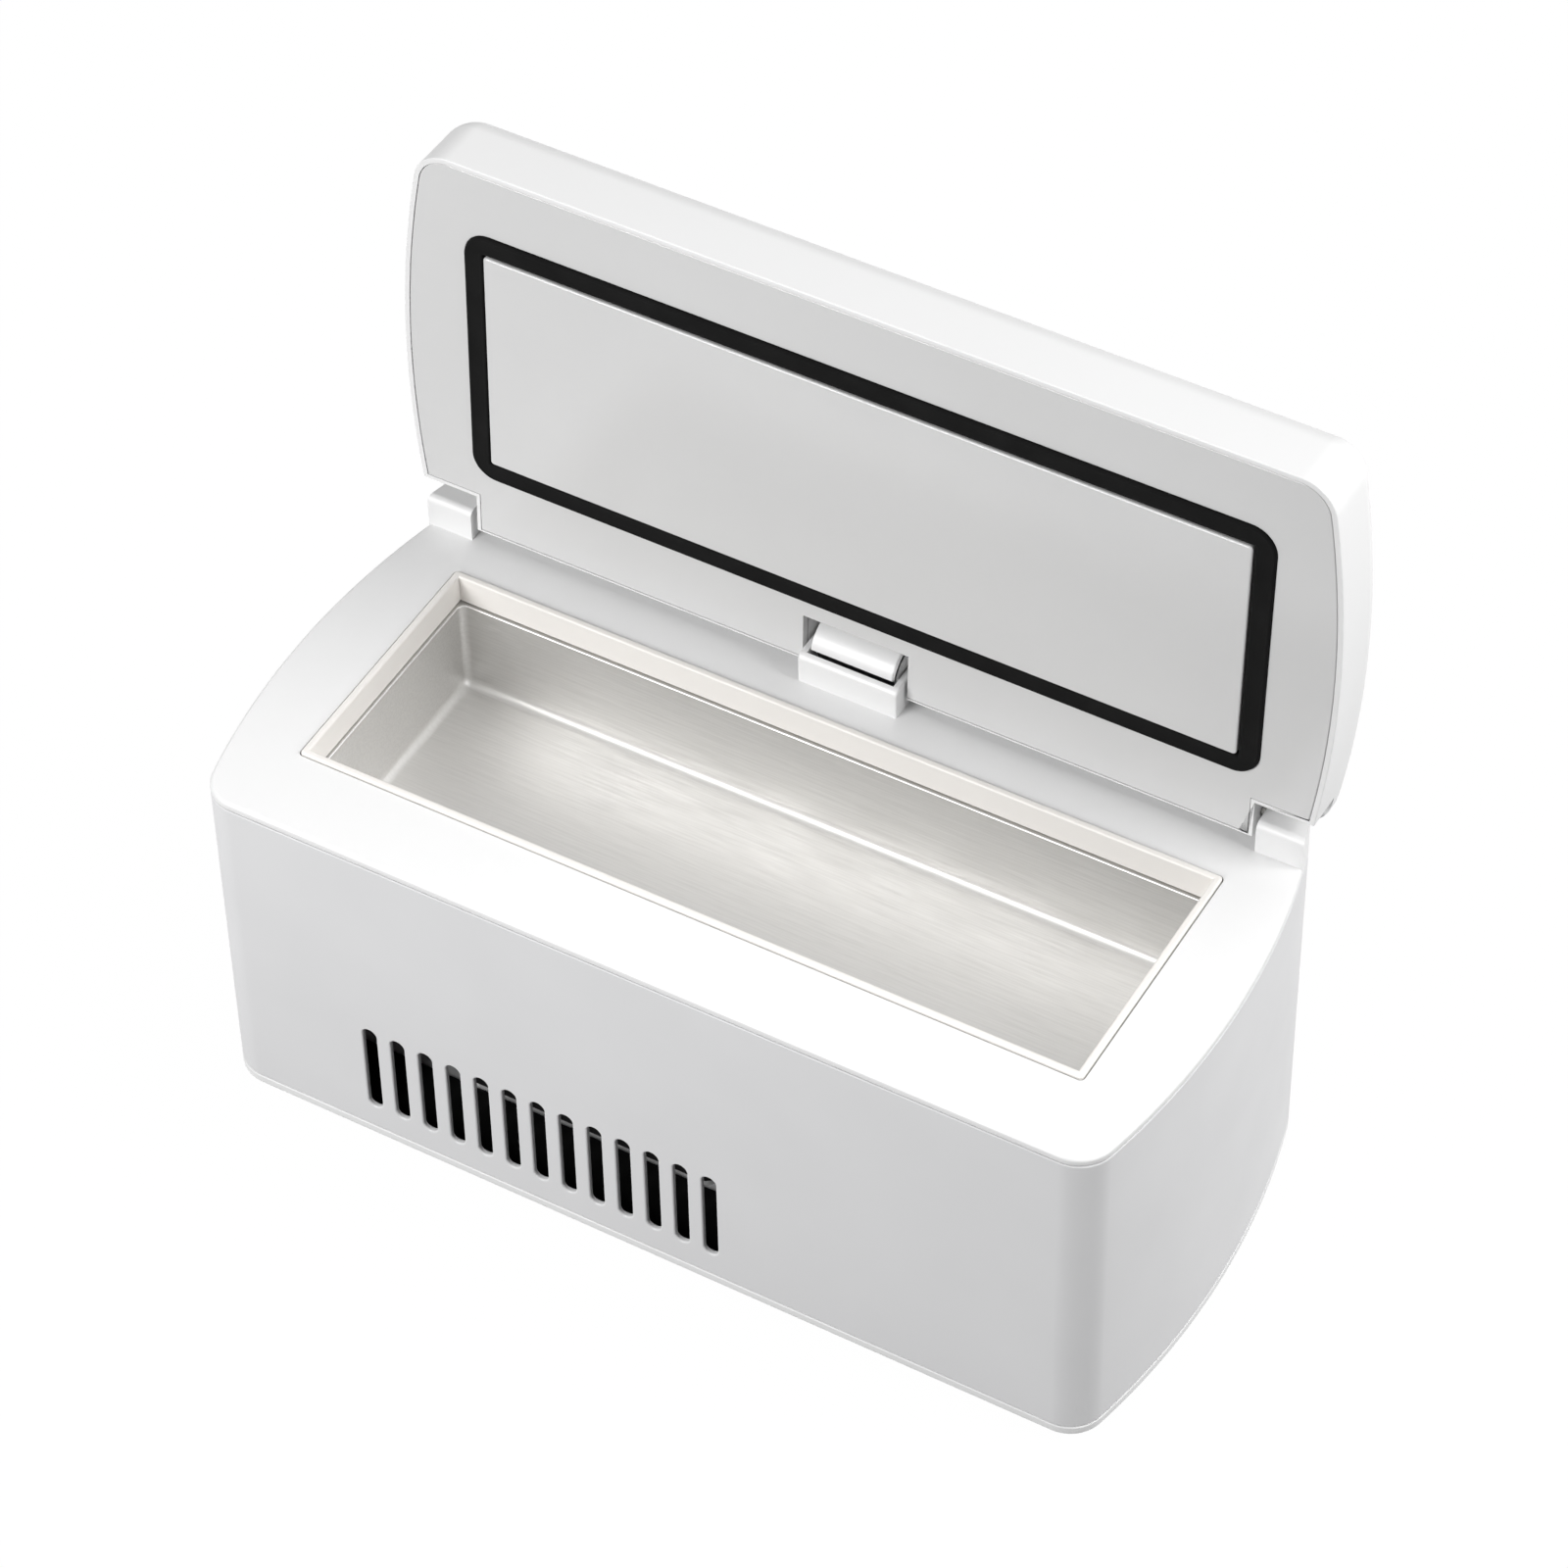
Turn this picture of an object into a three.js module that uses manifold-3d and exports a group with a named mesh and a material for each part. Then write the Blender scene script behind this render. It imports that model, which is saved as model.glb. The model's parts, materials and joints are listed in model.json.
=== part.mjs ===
import * as THREE from 'three';
import { mergeVertices } from 'three/addons/utils/BufferGeometryUtils.js';
import Module from 'manifold-3d';

// A small cooling case with a hinged lid. Sizes are in millimetres.
// X runs along the case, Y from its front to its rear, and Z up from the table.

// Gaps between pieces
const CLEARANCE = 0.3;
const SEAM = 0.3;
const OVERRUN = 1;

// Compartment rim, collar and cold tank
const RIM_HALF_LENGTH = 86;
const RIM_HALF_DEPTH = 28.9;
const RIM_PROUD = 0.6;
const RIM_CORNER = 0.8;
const COLLAR_WALL = 1.5;
const COLLAR_DEPTH = 6.2;
const COLLAR_FLANGE_WIDTH = 4;
const TANK_STEP = 0.5;
const TANK_WALL = 1.2;
const TANK_CORNER = 1.6;
const TANK_FLANGE_WIDTH = 3;
const CAVITY_DEPTH = 28.5;

// Insulation round the tank
const FOAM_SIDE = 9;
const FOAM_FLOOR = 12;
const FOAM_CORNER = 18;

// Plan of the case: straight front and rear, bowed ends, round corners
const DECK_END_MARGIN = 17;
const DECK_SIDE_MARGIN = 18.1;
const CASE_END_RADIUS = 172;
const CASE_BOW_SHIFT = -2;
const CASE_FRONT_CORNER = 8;
const CASE_REAR_CORNER = 5;
const WALL = 2.2;

// Deck cover and base cover
const DECK_EDGE = 1.8;
const DECK_EDGE_ROUND = 0.8;
const DECK_STEP = 1.8;
const BASE_EDGE = 2.6;
const BASE_EDGE_ROUND = 1.2;
const BASE_STEP = 1.4;
const BASE_STEP_WALL = 1.5;

// Corner columns of the case, with pegs above and screws below
const COLUMN_RADIUS = 3.8;
const COLUMN_END_INSET = 11;
const COLUMN_SIDE_INSET = 9;
const COLUMN_WEB = 2.4;
const PEG_RADIUS = 1.7;
const PEG_LENGTH = 5.4;
const SCREW_SHANK_RADIUS = 1.25;
const SCREW_BITE = 10;
const SCREW_HEAD_RADIUS = 2.7;
const SCREW_HEAD_HEIGHT = 1.4;
const SCREW_CROSS_WIDTH = 0.8;
const SCREW_CROSS_LENGTH = 3.2;
const SCREW_CROSS_DEPTH = 0.7;

// Rubber feet
const FOOT_PROUD = 2;
const FOOT_RADIUS = 6;
const FOOT_SOCKET = 1.2;
const FOOT_EDGE = 0.6;
const FOOT_END_INSET = 23;
const FOOT_SIDE_INSET = 14;

// Air slots in the front and rear walls, and in the base
const VENT_COUNT = 13;
const VENT_PITCH = 6.48;
const VENT_WIDTH = 3.2;
const VENT_HEIGHT = 23.2;
const VENT_RISE = 9;
const INTAKE_COUNT = 9;
const INTAKE_PITCH = 5.6;
const INTAKE_WIDTH = 2.8;
const INTAKE_LENGTH = 44;

// Fan
const FAN_SIZE = 60;
const FAN_THICKNESS = 10;
const FAN_RIM = 1.6;
const FAN_CORNER = 4;
const FAN_HOLE_INSET = 5;
const FAN_HOLE_RADIUS = 2;
const FAN_MOTOR_RADIUS = 11;
const FAN_MOTOR_HEIGHT = 1.6;
const FAN_STRUT_COUNT = 4;
const FAN_STRUT_WIDTH = 2.4;
const FAN_SHAFT_RADIUS = 1.4;
const FAN_SHAFT_LENGTH = 4;
const FAN_HUB_RADIUS = 12.5;
const FAN_BLADE_COUNT = 7;
const FAN_BLADE_CHORD = 9.5;
const FAN_BLADE_THICKNESS = 0.9;
const FAN_BLADE_PITCH = THREE.MathUtils.degToRad(36);
const FAN_TIP_GAP = 0.8;
const FAN_POST_HEIGHT = 3.5;
const FAN_POST_RADIUS = 3.4;

// Heat sink, thermoelectric module and cold spacer
const SINK_WIDTH = 80;
const SINK_SIDE_GAP = 8.8;
const SINK_BASE = 4;
const FIN_COUNT = 15;
const FIN_HEIGHT = 11;
const FIN_THICKNESS = 1.3;
const MODULE_SIZE = 40;
const MODULE_THICKNESS = 3.8;
const MODULE_PLATE = 0.8;
const MODULE_CORE_INSET = 1;
const SPACER_END_MARGIN = 5;
const SPACER_DEPTH = 40;
const SPACER_HEIGHT = 16.9;
const CLAMP_MODULE_GAP = 4.5;
const CLAMP_SHANK_RADIUS = 1.5;
const CLAMP_HEAD_RADIUS = 2.6;
const CLAMP_HEAD_HEIGHT = 1.8;
const CLAMP_BITE = 7;
const SENSOR_RADIUS = 2.2;
const SENSOR_LENGTH = 10;
const SENSOR_OFFSET = 34;

// Battery, its cradle and the control board
const CELL_COUNT = 3;
const CELL_RADIUS = 9.2;
const CELL_LENGTH = 65;
const CELL_GAP = 0.5;
const CELL_CAP_RADIUS = 3;
const CELL_CAP_HEIGHT = 1.2;
const CELL_EDGE = 0.8;
const CRADLE_SINK_GAP = 3;
const LEFT_SPARE_SHARE = 0.7885;
const CRADLE_FLOOR = 1.5;
const CRADLE_END_WALL = 1.5;
const CRADLE_END_HEIGHT = 11;
const CRADLE_SIDE_MARGIN = 3;
const BOARD_POST_RADIUS = 2.2;
const BOARD_POST_EDGE = 0.6;
const BOARD_GAP = 0.6;
const BOARD_THICKNESS = 1.6;
const CHIP_SIZE = 9;
const CHIP_HEIGHT = 1.2;
const COIL_RADIUS = 6;
const COIL_HEIGHT = 5.5;
const CAPACITOR_RADIUS = 3.2;
const CAPACITOR_HEIGHT = 7.5;
const HEADER_LENGTH = 12;
const HEADER_DEPTH = 4;
const HEADER_HEIGHT = 5;
const JACK_INSET = 18;
const JACK_WIDTH = 9;
const JACK_HEIGHT = 11;
const JACK_DEPTH = 13;
const JACK_BARREL_RADIUS = 4.2;
const JACK_SOCKET_RADIUS = 2.8;
const JACK_SOCKET_DEPTH = 9.5;
const JACK_PIN_RADIUS = 1;
const JACK_RECESS = 0.4;

// Flat cable that leaves the deck under the middle of the hinge and winds on the barrel
const RIBBON_SIDE_GAP = 1.2;
const RIBBON_THICKNESS = 0.5;
const RIBBON_WALL_GAP = 2.6;
const RIBBON_BARREL_GAP = 0.3;
const RIBBON_BEND = 1.2;
const RIBBON_RUN_HEIGHT = 8;
const RIBBON_RUN_RISE = 1;
const RIBBON_STAND = 1.6;
const WRAP_REACH = THREE.MathUtils.degToRad(134);

// Hinge
const LID_OPEN = THREE.MathUtils.degToRad(92.2);
const HINGE_INSET = 3.6;
const HINGE_RISE = 6.1;
const KNUCKLE_RADIUS = 3.2;
const PIN_RADIUS = 1;
const PIN_LENGTH = 13;
const PIN_BLOCK_WALL = 3.6;
const BLOCK_ROUND = 1.6;
const END_BLOCK_REACH = 15;
const END_BLOCK_WIDTH = 10.5;
const END_BLOCK_DEPTH = 5.3;
const END_BLOCK_HEIGHT = 7.6;
const CENTRE_BLOCK_HALF = 11.1;
const CENTRE_BLOCK_DEPTH = 7.8;
const CENTRE_BLOCK_HEIGHT = 7.2;
const CENTRE_LIP = 1.4;
const CENTRE_CHEEK = 1.4;
const BARREL_RADIUS = 3.6;
const BARREL_SIDE_GAP = 0.4;
const HOOD_RADIUS = 5.6;
const HOOD_WALL = 0.9;
const HOOD_REACH = THREE.MathUtils.degToRad(82);
const NOTCH_SWING_GAP = 0.35;
const NOTCH_END_GAP = 1.1;
const NOTCH_CENTRE_GAP = 0.6;
const NOTCH_RISE_GAP = 1.1;
const NOTCH_WALL = 1.2;
const NOTCH_BEARING = 5;

// Lid shell and its inner panel
const LID_THICKNESS = 17.4;
const LID_END_INSET = 1;
const LID_FRONT_INSET = 0.6;
const LID_REAR_INSET = 0.1;
const LID_END_RADIUS = 240;
const LID_BOW_SHIFT = 2.5;
const LID_CORNER = 8;
const LID_EDGE_ROUND = 6.5;
const LID_WALL = 2.2;
const LID_LAND = 1.1;
const PANEL_THICKNESS = 2;
const PANEL_POCKET = 1.2;
const GASKET_END_LAP = 1.1;
const GASKET_SIDE_LAP = 2.05;
const GASKET_BAND = 4.2;
const GASKET_CORNER = 5.5;
const GASKET_PROUD = 0.7;
const PLUG_PROUD = 1;
const PLUG_CHAMFER = 0.5;

// Hidden magnets that hold the lid shut
const MAGNET_RADIUS = 4;
const MAGNET_THICKNESS = 2.5;
const MAGNET_OFFSET = 60;
const MAGNET_FOAM_GAP = 1.1;
const MAGNET_ROOF = 1.2;
const MAGNET_SEAT = 0.9;

// Display, its board and the two buttons in the lid
const WINDOW_HALF_LENGTH = 29;
const WINDOW_HALF_DEPTH = 13;
const WINDOW_CORNER = 3.5;
const WINDOW_THICKNESS = 0.9;
const WINDOW_LEDGE = 2.5;
const DISPLAY_SHIFT = -4;
const LCD_OVERLAP = 1.5;
const LCD_THICKNESS = 2.4;
const BUTTON_RADIUS = 5.5;
const BUTTON_OFFSET = 46;
const BUTTON_PROUD = 0.5;
const BUTTON_FLANGE_WIDTH = 1.2;
const BUTTON_FLANGE_HEIGHT = 1;
const BUTTON_TRAVEL = 0.8;
const SWITCH_SIZE = 6;
const SWITCH_HEIGHT = 2.6;
const SWITCH_PLUNGER_RADIUS = 1.7;
const SWITCH_PLUNGER_HEIGHT = 0.8;
const DISPLAY_BOARD_HALF_LENGTH = 66;
const DISPLAY_BOARD_HALF_DEPTH = 16;
const DISPLAY_BOARD_THICKNESS = 1.2;
const DISPLAY_BOSS_RADIUS = 2;
const DISPLAY_BOSS_INSET = 4;

// How finely round shapes are cut
const CORNER_STEPS = 5;
const BOW_STEPS = 8;
const EDGE_STEPS = 4;
const SMALL_SIDES = 12;
const ROUND_SIDES = 20;
const BORE_SIDES = 36;
const CURVE_STEPS = 2;
const SLOT_STEPS = 1;
const BEND_STEPS = 3;
const HOOD_STEPS = 7;
const QUARTER_TURN = Math.PI / 2;
const HALF_TURN = Math.PI;
const FULL_TURN = Math.PI * 2;

// Heights above the table, worked up through the stack under the tank
const baseUnder = FOOT_PROUD;
const baseTop = baseUnder + BASE_EDGE;
const fanLow = baseTop + FAN_POST_HEIGHT + CLEARANCE;
const fanTop = fanLow + FAN_THICKNESS;
const finLow = fanTop + CLEARANCE;
const sinkLow = finLow + FIN_HEIGHT;
const sinkTop = sinkLow + SINK_BASE;
const moduleLow = sinkTop + CLEARANCE;
const moduleTop = moduleLow + MODULE_THICKNESS;
const spacerLow = moduleTop + CLEARANCE;
const spacerTop = spacerLow + SPACER_HEIGHT;
const tankUnder = spacerTop + CLEARANCE;
const tankFloor = tankUnder + TANK_WALL;
const deckTop = tankFloor + CAVITY_DEPTH;
const deckSeam = deckTop - DECK_EDGE;
const deckUnder = deckSeam - DECK_STEP;
const wallLow = baseTop + SEAM;
const wallTop = deckSeam - SEAM;
const columnLow = baseTop + BASE_STEP + CLEARANCE;
const columnTop = deckUnder - CLEARANCE;
const collarLow = deckTop - COLLAR_DEPTH;
const collarFlangeTop = deckUnder - CLEARANCE;
const tankTop = collarLow - CLEARANCE;
const foamTop = tankTop - TANK_WALL - CLEARANCE;
const foamLow = tankUnder - CLEARANCE - FOAM_FLOOR;
const footTop = baseUnder + FOOT_SOCKET - CLEARANCE;

// Half sizes in plan, worked outwards from the rim
const caseHalfLength = RIM_HALF_LENGTH + DECK_END_MARGIN;
const caseHalfDepth = RIM_HALF_DEPTH + DECK_SIDE_MARGIN;
const caseInnerRear = caseHalfDepth - WALL;
const mouthHalf = [RIM_HALF_LENGTH - COLLAR_WALL, RIM_HALF_DEPTH - COLLAR_WALL];
const tankInnerHalf = mouthHalf.map((half) => half - TANK_STEP);
const tankOuterHalf = tankInnerHalf.map((half) => half + TANK_WALL);
const foamPocketHalf = tankOuterHalf.map((half) => half + CLEARANCE);
const foamHalf = foamPocketHalf.map((half) => half + FOAM_SIDE);
const columnX = caseHalfLength - COLUMN_END_INSET;
const columnY = caseHalfDepth - COLUMN_SIDE_INSET;
const columnSpots = [[-columnX, -columnY], [columnX, -columnY], [-columnX, columnY], [columnX, columnY]];
const footX = caseHalfLength - FOOT_END_INSET;
const footY = caseHalfDepth - FOOT_SIDE_INSET;

const casePlan = {
  halfLength: caseHalfLength,
  front: caseHalfDepth,
  rear: caseHalfDepth,
  endRadius: CASE_END_RADIUS,
  bowShift: CASE_BOW_SHIFT,
  frontCorner: CASE_FRONT_CORNER,
  rearCorner: CASE_REAR_CORNER,
};

// The heat sink and the battery cradle stand side by side between the corner columns
const cellPitch = 2 * CELL_RADIUS + CELL_GAP;
const batteryLength = CELL_COUNT * cellPitch - CELL_GAP;
const cradleLength = batteryLength + 2 * CRADLE_SIDE_MARGIN;
const innerReach = columnX - COLUMN_RADIUS;
const spareLength = 2 * innerReach - SINK_WIDTH - CRADLE_SINK_GAP - cradleLength;
const coldX = LEFT_SPARE_SHARE * spareLength + SINK_WIDTH / 2 - innerReach;
const sinkDepth = 2 * (caseInnerRear - SINK_SIDE_GAP);
const clampReach = MODULE_SIZE / 2 + CLAMP_MODULE_GAP + CLAMP_SHANK_RADIUS;
const spacerLength = 2 * (clampReach + SPACER_END_MARGIN);
const cradleLeft = coldX + SINK_WIDTH / 2 + CRADLE_SINK_GAP;
const batteryLeft = cradleLeft + CRADLE_SIDE_MARGIN;
const cradleLow = baseTop + CLEARANCE;
const cradleTop = cradleLow + CRADLE_FLOOR;
const cellCentreZ = cradleTop + CLEARANCE + CELL_RADIUS;
const cellEnd = CELL_LENGTH / 2 + CLEARANCE;
const postY = cellEnd + CRADLE_END_WALL / 2 + BOARD_POST_RADIUS;
const cradleHalfDepth = postY + BOARD_POST_RADIUS + BOARD_POST_EDGE;
const cradleX = [cradleLeft, cradleLeft + cradleLength];
const boardLow = cellCentreZ + CELL_RADIUS + BOARD_GAP;
const boardTop = boardLow + BOARD_THICKNESS;
const ribbonWallY = caseInnerRear - RIBBON_WALL_GAP;
const boardRear = ribbonWallY - RIBBON_THICKNESS / 2 - CLEARANCE;
const jackX = cradleX[1] - JACK_INSET;
const jackLow = boardTop + CLEARANCE;
const jackZ = jackLow + JACK_HEIGHT / 2;

// Hinge axis, and the blocks and notches round it
const hingeY = caseHalfDepth - HINGE_INSET;
const hingeZ = deckTop + HINGE_RISE;
const endBlockX = caseHalfLength - END_BLOCK_REACH;
const endNotchX = endBlockX - NOTCH_END_GAP;
const endNotchY = hingeY - END_BLOCK_DEPTH - NOTCH_SWING_GAP;
const centreNotchX = CENTRE_BLOCK_HALF + NOTCH_CENTRE_GAP;
const centreNotchY = hingeY - CENTRE_BLOCK_DEPTH - NOTCH_SWING_GAP;
const notchTop = hingeZ + KNUCKLE_RADIUS + NOTCH_RISE_GAP;
const slotHalf = CENTRE_BLOCK_HALF - CENTRE_CHEEK;
const ribbonHalf = slotHalf - RIBBON_SIDE_GAP;
const wrapInner = BARREL_RADIUS + RIBBON_BARREL_GAP;
const ribbonY = hingeY - wrapInner - RIBBON_THICKNESS / 2;
const slotY = hingeY - CENTRE_BLOCK_DEPTH + CENTRE_LIP;
const pinBore = PIN_RADIUS + CLEARANCE;
const pinOuter = endBlockX + END_BLOCK_WIDTH - PIN_BLOCK_WALL - CLEARANCE;
const pinInner = pinOuter - PIN_LENGTH;

// Lid heights when it is shut, and its plan
const lidFace = deckTop + RIM_PROUD + CLEARANCE + GASKET_PROUD;
const lidTop = lidFace + LID_THICKNESS;
const panelTop = lidFace + PANEL_THICKNESS;
const lidInside = panelTop + CLEARANCE;
const lidCeiling = lidTop - LID_WALL;
const lidPlan = {
  halfLength: caseHalfLength - LID_END_INSET,
  front: caseHalfDepth - LID_FRONT_INSET,
  rear: caseHalfDepth - LID_REAR_INSET,
  endRadius: LID_END_RADIUS,
  bowShift: LID_BOW_SHIFT,
  frontCorner: LID_CORNER,
  rearCorner: LID_CORNER,
};
const magnetY = -(RIM_HALF_DEPTH + COLLAR_FLANGE_WIDTH + caseInnerRear) / 2;
const gasketHalf = [RIM_HALF_LENGTH + GASKET_END_LAP, RIM_HALF_DEPTH + GASKET_SIDE_LAP];
const gasketInnerHalf = gasketHalf.map((half) => half - GASKET_BAND);
const buttonFlangeLow = lidCeiling - CLEARANCE - BUTTON_FLANGE_HEIGHT;
const switchTop = buttonFlangeLow - BUTTON_TRAVEL - CLEARANCE;
const displayBoardTop = switchTop - SWITCH_HEIGHT - CLEARANCE;
const displayBoardLow = displayBoardTop - DISPLAY_BOARD_THICKNESS;

const wasm = await Module();
wasm.setup();

// Turns a three.js geometry into a solid that can be joined and cut.
function solid(shape) {
  if (!shape.isBufferGeometry) return shape;
  shape.deleteAttribute('normal');
  shape.deleteAttribute('uv');
  const merged = mergeVertices(shape);
  const vertProperties = new Float32Array(merged.attributes.position.array);
  const triVerts = new Uint32Array(merged.index.array);
  return new wasm.Manifold(new wasm.Mesh({ numProp: 3, vertProperties, triVerts }));
}

function join(...shapes) {
  return shapes.map(solid).reduce((whole, piece) => whole.add(piece));
}

function cut(shape, ...tools) {
  return tools.map(solid).reduce((whole, tool) => whole.subtract(tool), solid(shape));
}

function common(first, second) {
  return solid(first).intersect(solid(second));
}

// Makes the named mesh of one finished solid.
function piece(name, shape, material) {
  const { vertProperties, triVerts } = solid(shape).getMesh();
  const geometry = new THREE.BufferGeometry();
  geometry.setAttribute('position', new THREE.BufferAttribute(vertProperties, 3));
  geometry.setIndex(new THREE.BufferAttribute(triVerts, 1));
  geometry.computeVertexNormals();
  const mesh = new THREE.Mesh(geometry, material);
  mesh.name = name;
  return mesh;
}

function plastic(color, roughness) {
  return new THREE.MeshStandardMaterial({ color, roughness, metalness: 0 });
}

function metal(color, roughness) {
  return new THREE.MeshStandardMaterial({ color, roughness, metalness: 1 });
}

const materials = {
  whiteAbs: plastic('#f4f4f4', 0.35),
  silverAbs: plastic('#dedede', 0.4),
  panelGloss: plastic('#d6d6d6', 0.2),
  linerAbs: plastic('#e6e3df', 0.45),
  blackAbs: plastic('#1c1c1c', 0.5),
  rubber: plastic('#242424', 0.8),
  foam: plastic('#e9e6dc', 0.95),
  ceramic: plastic('#f0eee8', 0.6),
  circuit: plastic('#1f5c3a', 0.5),
  cellWrap: plastic('#3f6fa8', 0.35),
  glass: plastic('#101214', 0.08),
  aluminium: metal('#b4b7ba', 0.4),
  blackAnodised: metal('#1d1d1f', 0.45),
  steel: metal('#c2c3c5', 0.3),
};

function centred(middle, size) {
  return [middle - size / 2, middle + size / 2];
}

function block([x0, x1], [y0, y1], [z0, z1]) {
  const geometry = new THREE.BoxGeometry(x1 - x0, y1 - y0, z1 - z0);
  return geometry.translate((x0 + x1) / 2, (y0 + y1) / 2, (z0 + z1) / 2);
}

function rodZ(radius, x, y, [z0, z1], sides = ROUND_SIDES) {
  const geometry = new THREE.CylinderGeometry(radius, radius, z1 - z0, sides);
  return geometry.rotateX(QUARTER_TURN).translate(x, y, (z0 + z1) / 2);
}

function rodX(radius, [x0, x1], y, z, sides = ROUND_SIDES) {
  const geometry = new THREE.CylinderGeometry(radius, radius, x1 - x0, sides);
  return geometry.rotateZ(QUARTER_TURN).translate((x0 + x1) / 2, y, z);
}

function rodY(radius, x, [y0, y1], z, sides = ROUND_SIDES) {
  const geometry = new THREE.CylinderGeometry(radius, radius, y1 - y0, sides);
  return geometry.translate(x, (y0 + y1) / 2, z);
}

function extrude(shape, depth, curveSegments = CURVE_STEPS) {
  return new THREE.ExtrudeGeometry(shape, { depth, bevelEnabled: false, curveSegments });
}

function slab(shape, [z0, z1], curveSegments = CURVE_STEPS) {
  return extrude(shape, z1 - z0, curveSegments).translate(0, 0, z0);
}

// Extrudes a profile drawn in (y, z) along x.
function alongX(shape, [x0, x1]) {
  const basis = new THREE.Matrix4().makeBasis(
    new THREE.Vector3(0, 1, 0),
    new THREE.Vector3(0, 0, 1),
    new THREE.Vector3(1, 0, 0),
  );
  return extrude(shape, x1 - x0).applyMatrix4(basis).translate(x0, 0, 0);
}

// Extrudes a profile drawn in (x, z) along y.
function alongY(shape, [y0, y1], curveSegments = CURVE_STEPS) {
  return extrude(shape, y1 - y0, curveSegments).rotateX(QUARTER_TURN).translate(0, y1, 0);
}

function roundedRectangle(halfLength, halfDepth, corner, x = 0, y = 0) {
  const shape = new THREE.Shape();
  const [reach, rise] = [halfLength - corner, halfDepth - corner];
  shape.absarc(x + reach, y - rise, corner, -QUARTER_TURN, 0);
  shape.absarc(x + reach, y + rise, corner, 0, QUARTER_TURN);
  shape.absarc(x - reach, y + rise, corner, QUARTER_TURN, HALF_TURN);
  shape.absarc(x - reach, y - rise, corner, HALF_TURN, HALF_TURN + QUARTER_TURN);
  return shape;
}

function rectangle(halfLength, halfDepth, y = 0) {
  return new THREE.Shape([
    new THREE.Vector2(-halfLength, y - halfDepth),
    new THREE.Vector2(halfLength, y - halfDepth),
    new THREE.Vector2(halfLength, y + halfDepth),
    new THREE.Vector2(-halfLength, y + halfDepth),
  ]);
}

function arc(x, y, radius, from, to, steps) {
  const points = [];
  for (let step = 0; step <= steps; step += 1) {
    const angle = from + ((to - from) * step) / steps;
    points.push(new THREE.Vector2(x + radius * Math.cos(angle), y + radius * Math.sin(angle)));
  }
  return points;
}

// Outline of a plan with straight front and rear, bowed ends and round corners, drawn in by inset.
function planOutline(plan, inset = 0) {
  const bowX = plan.halfLength - plan.endRadius;
  const corner = (y, radius) => {
    const rise = y - plan.bowShift;
    const reach = Math.sqrt((plan.endRadius - radius) ** 2 - rise ** 2);
    return { x: bowX + reach, y, radius: radius - inset, angle: Math.atan2(rise, reach) };
  };
  const front = corner(plan.frontCorner - plan.front, plan.frontCorner);
  const rear = corner(plan.rear - plan.rearCorner, plan.rearCorner);
  const bowRadius = plan.endRadius - inset;
  const right = [
    ...arc(front.x, front.y, front.radius, -QUARTER_TURN, front.angle, CORNER_STEPS),
    ...arc(bowX, plan.bowShift, bowRadius, front.angle, rear.angle, BOW_STEPS).slice(1),
    ...arc(rear.x, rear.y, rear.radius, rear.angle, QUARTER_TURN, CORNER_STEPS).slice(1),
  ];
  const left = right.map((point) => new THREE.Vector2(-point.x, point.y)).reverse();
  return [...right, ...left];
}

// Closed solid through a stack of outlines that all have the same number of points.
function loft(rings) {
  const count = rings[0].outline.length;
  const positions = rings.flatMap(({ outline, z }) => outline.flatMap((point) => [point.x, point.y, z]));
  const faces = THREE.ShapeUtils.triangulateShape(rings[0].outline, []);
  const topStart = (rings.length - 1) * count;
  const index = [];
  for (const [a, b, c] of faces) {
    index.push(c, b, a);
    index.push(topStart + a, topStart + b, topStart + c);
  }
  for (let ring = 0; ring < rings.length - 1; ring += 1) {
    for (let side = 0; side < count; side += 1) {
      const low = ring * count + side;
      const lowNext = ring * count + ((side + 1) % count);
      index.push(low, lowNext, lowNext + count);
      index.push(low, lowNext + count, low + count);
    }
  }
  const geometry = new THREE.BufferGeometry();
  geometry.setAttribute('position', new THREE.Float32BufferAttribute(positions, 3));
  geometry.setIndex(index);
  return geometry;
}

function planSlab(plan, inset, [z0, z1]) {
  const outline = planOutline(plan, inset);
  return loft([{ outline, z: z0 }, { outline, z: z1 }]);
}

// As planSlab, with its upper edge rounded, or its lower edge when atTop is false.
function roundedSlab(plan, inset, [z0, z1], round, atTop = true) {
  const rings = [{ outline: planOutline(plan, inset), z: atTop ? z0 : z1 }];
  for (let step = 0; step <= EDGE_STEPS; step += 1) {
    const angle = (QUARTER_TURN * step) / EDGE_STEPS;
    const outline = planOutline(plan, inset + round * (1 - Math.cos(angle)));
    const drop = round * (1 - Math.sin(angle));
    rings.push({ outline, z: atTop ? z1 - drop : z0 + drop });
  }
  return loft(atTop ? rings : rings.reverse());
}

// Row of upright slots with round ends, in the x-z plane.
function ventShapes() {
  const low = baseUnder + VENT_RISE;
  const middle = low + VENT_HEIGHT / 2;
  return Array.from({ length: VENT_COUNT }, (_, number) => {
    const x = coldX + (number - (VENT_COUNT - 1) / 2) * VENT_PITCH;
    return roundedRectangle(VENT_WIDTH / 2, VENT_HEIGHT / 2, VENT_WIDTH / 2, x, middle);
  });
}

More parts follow.
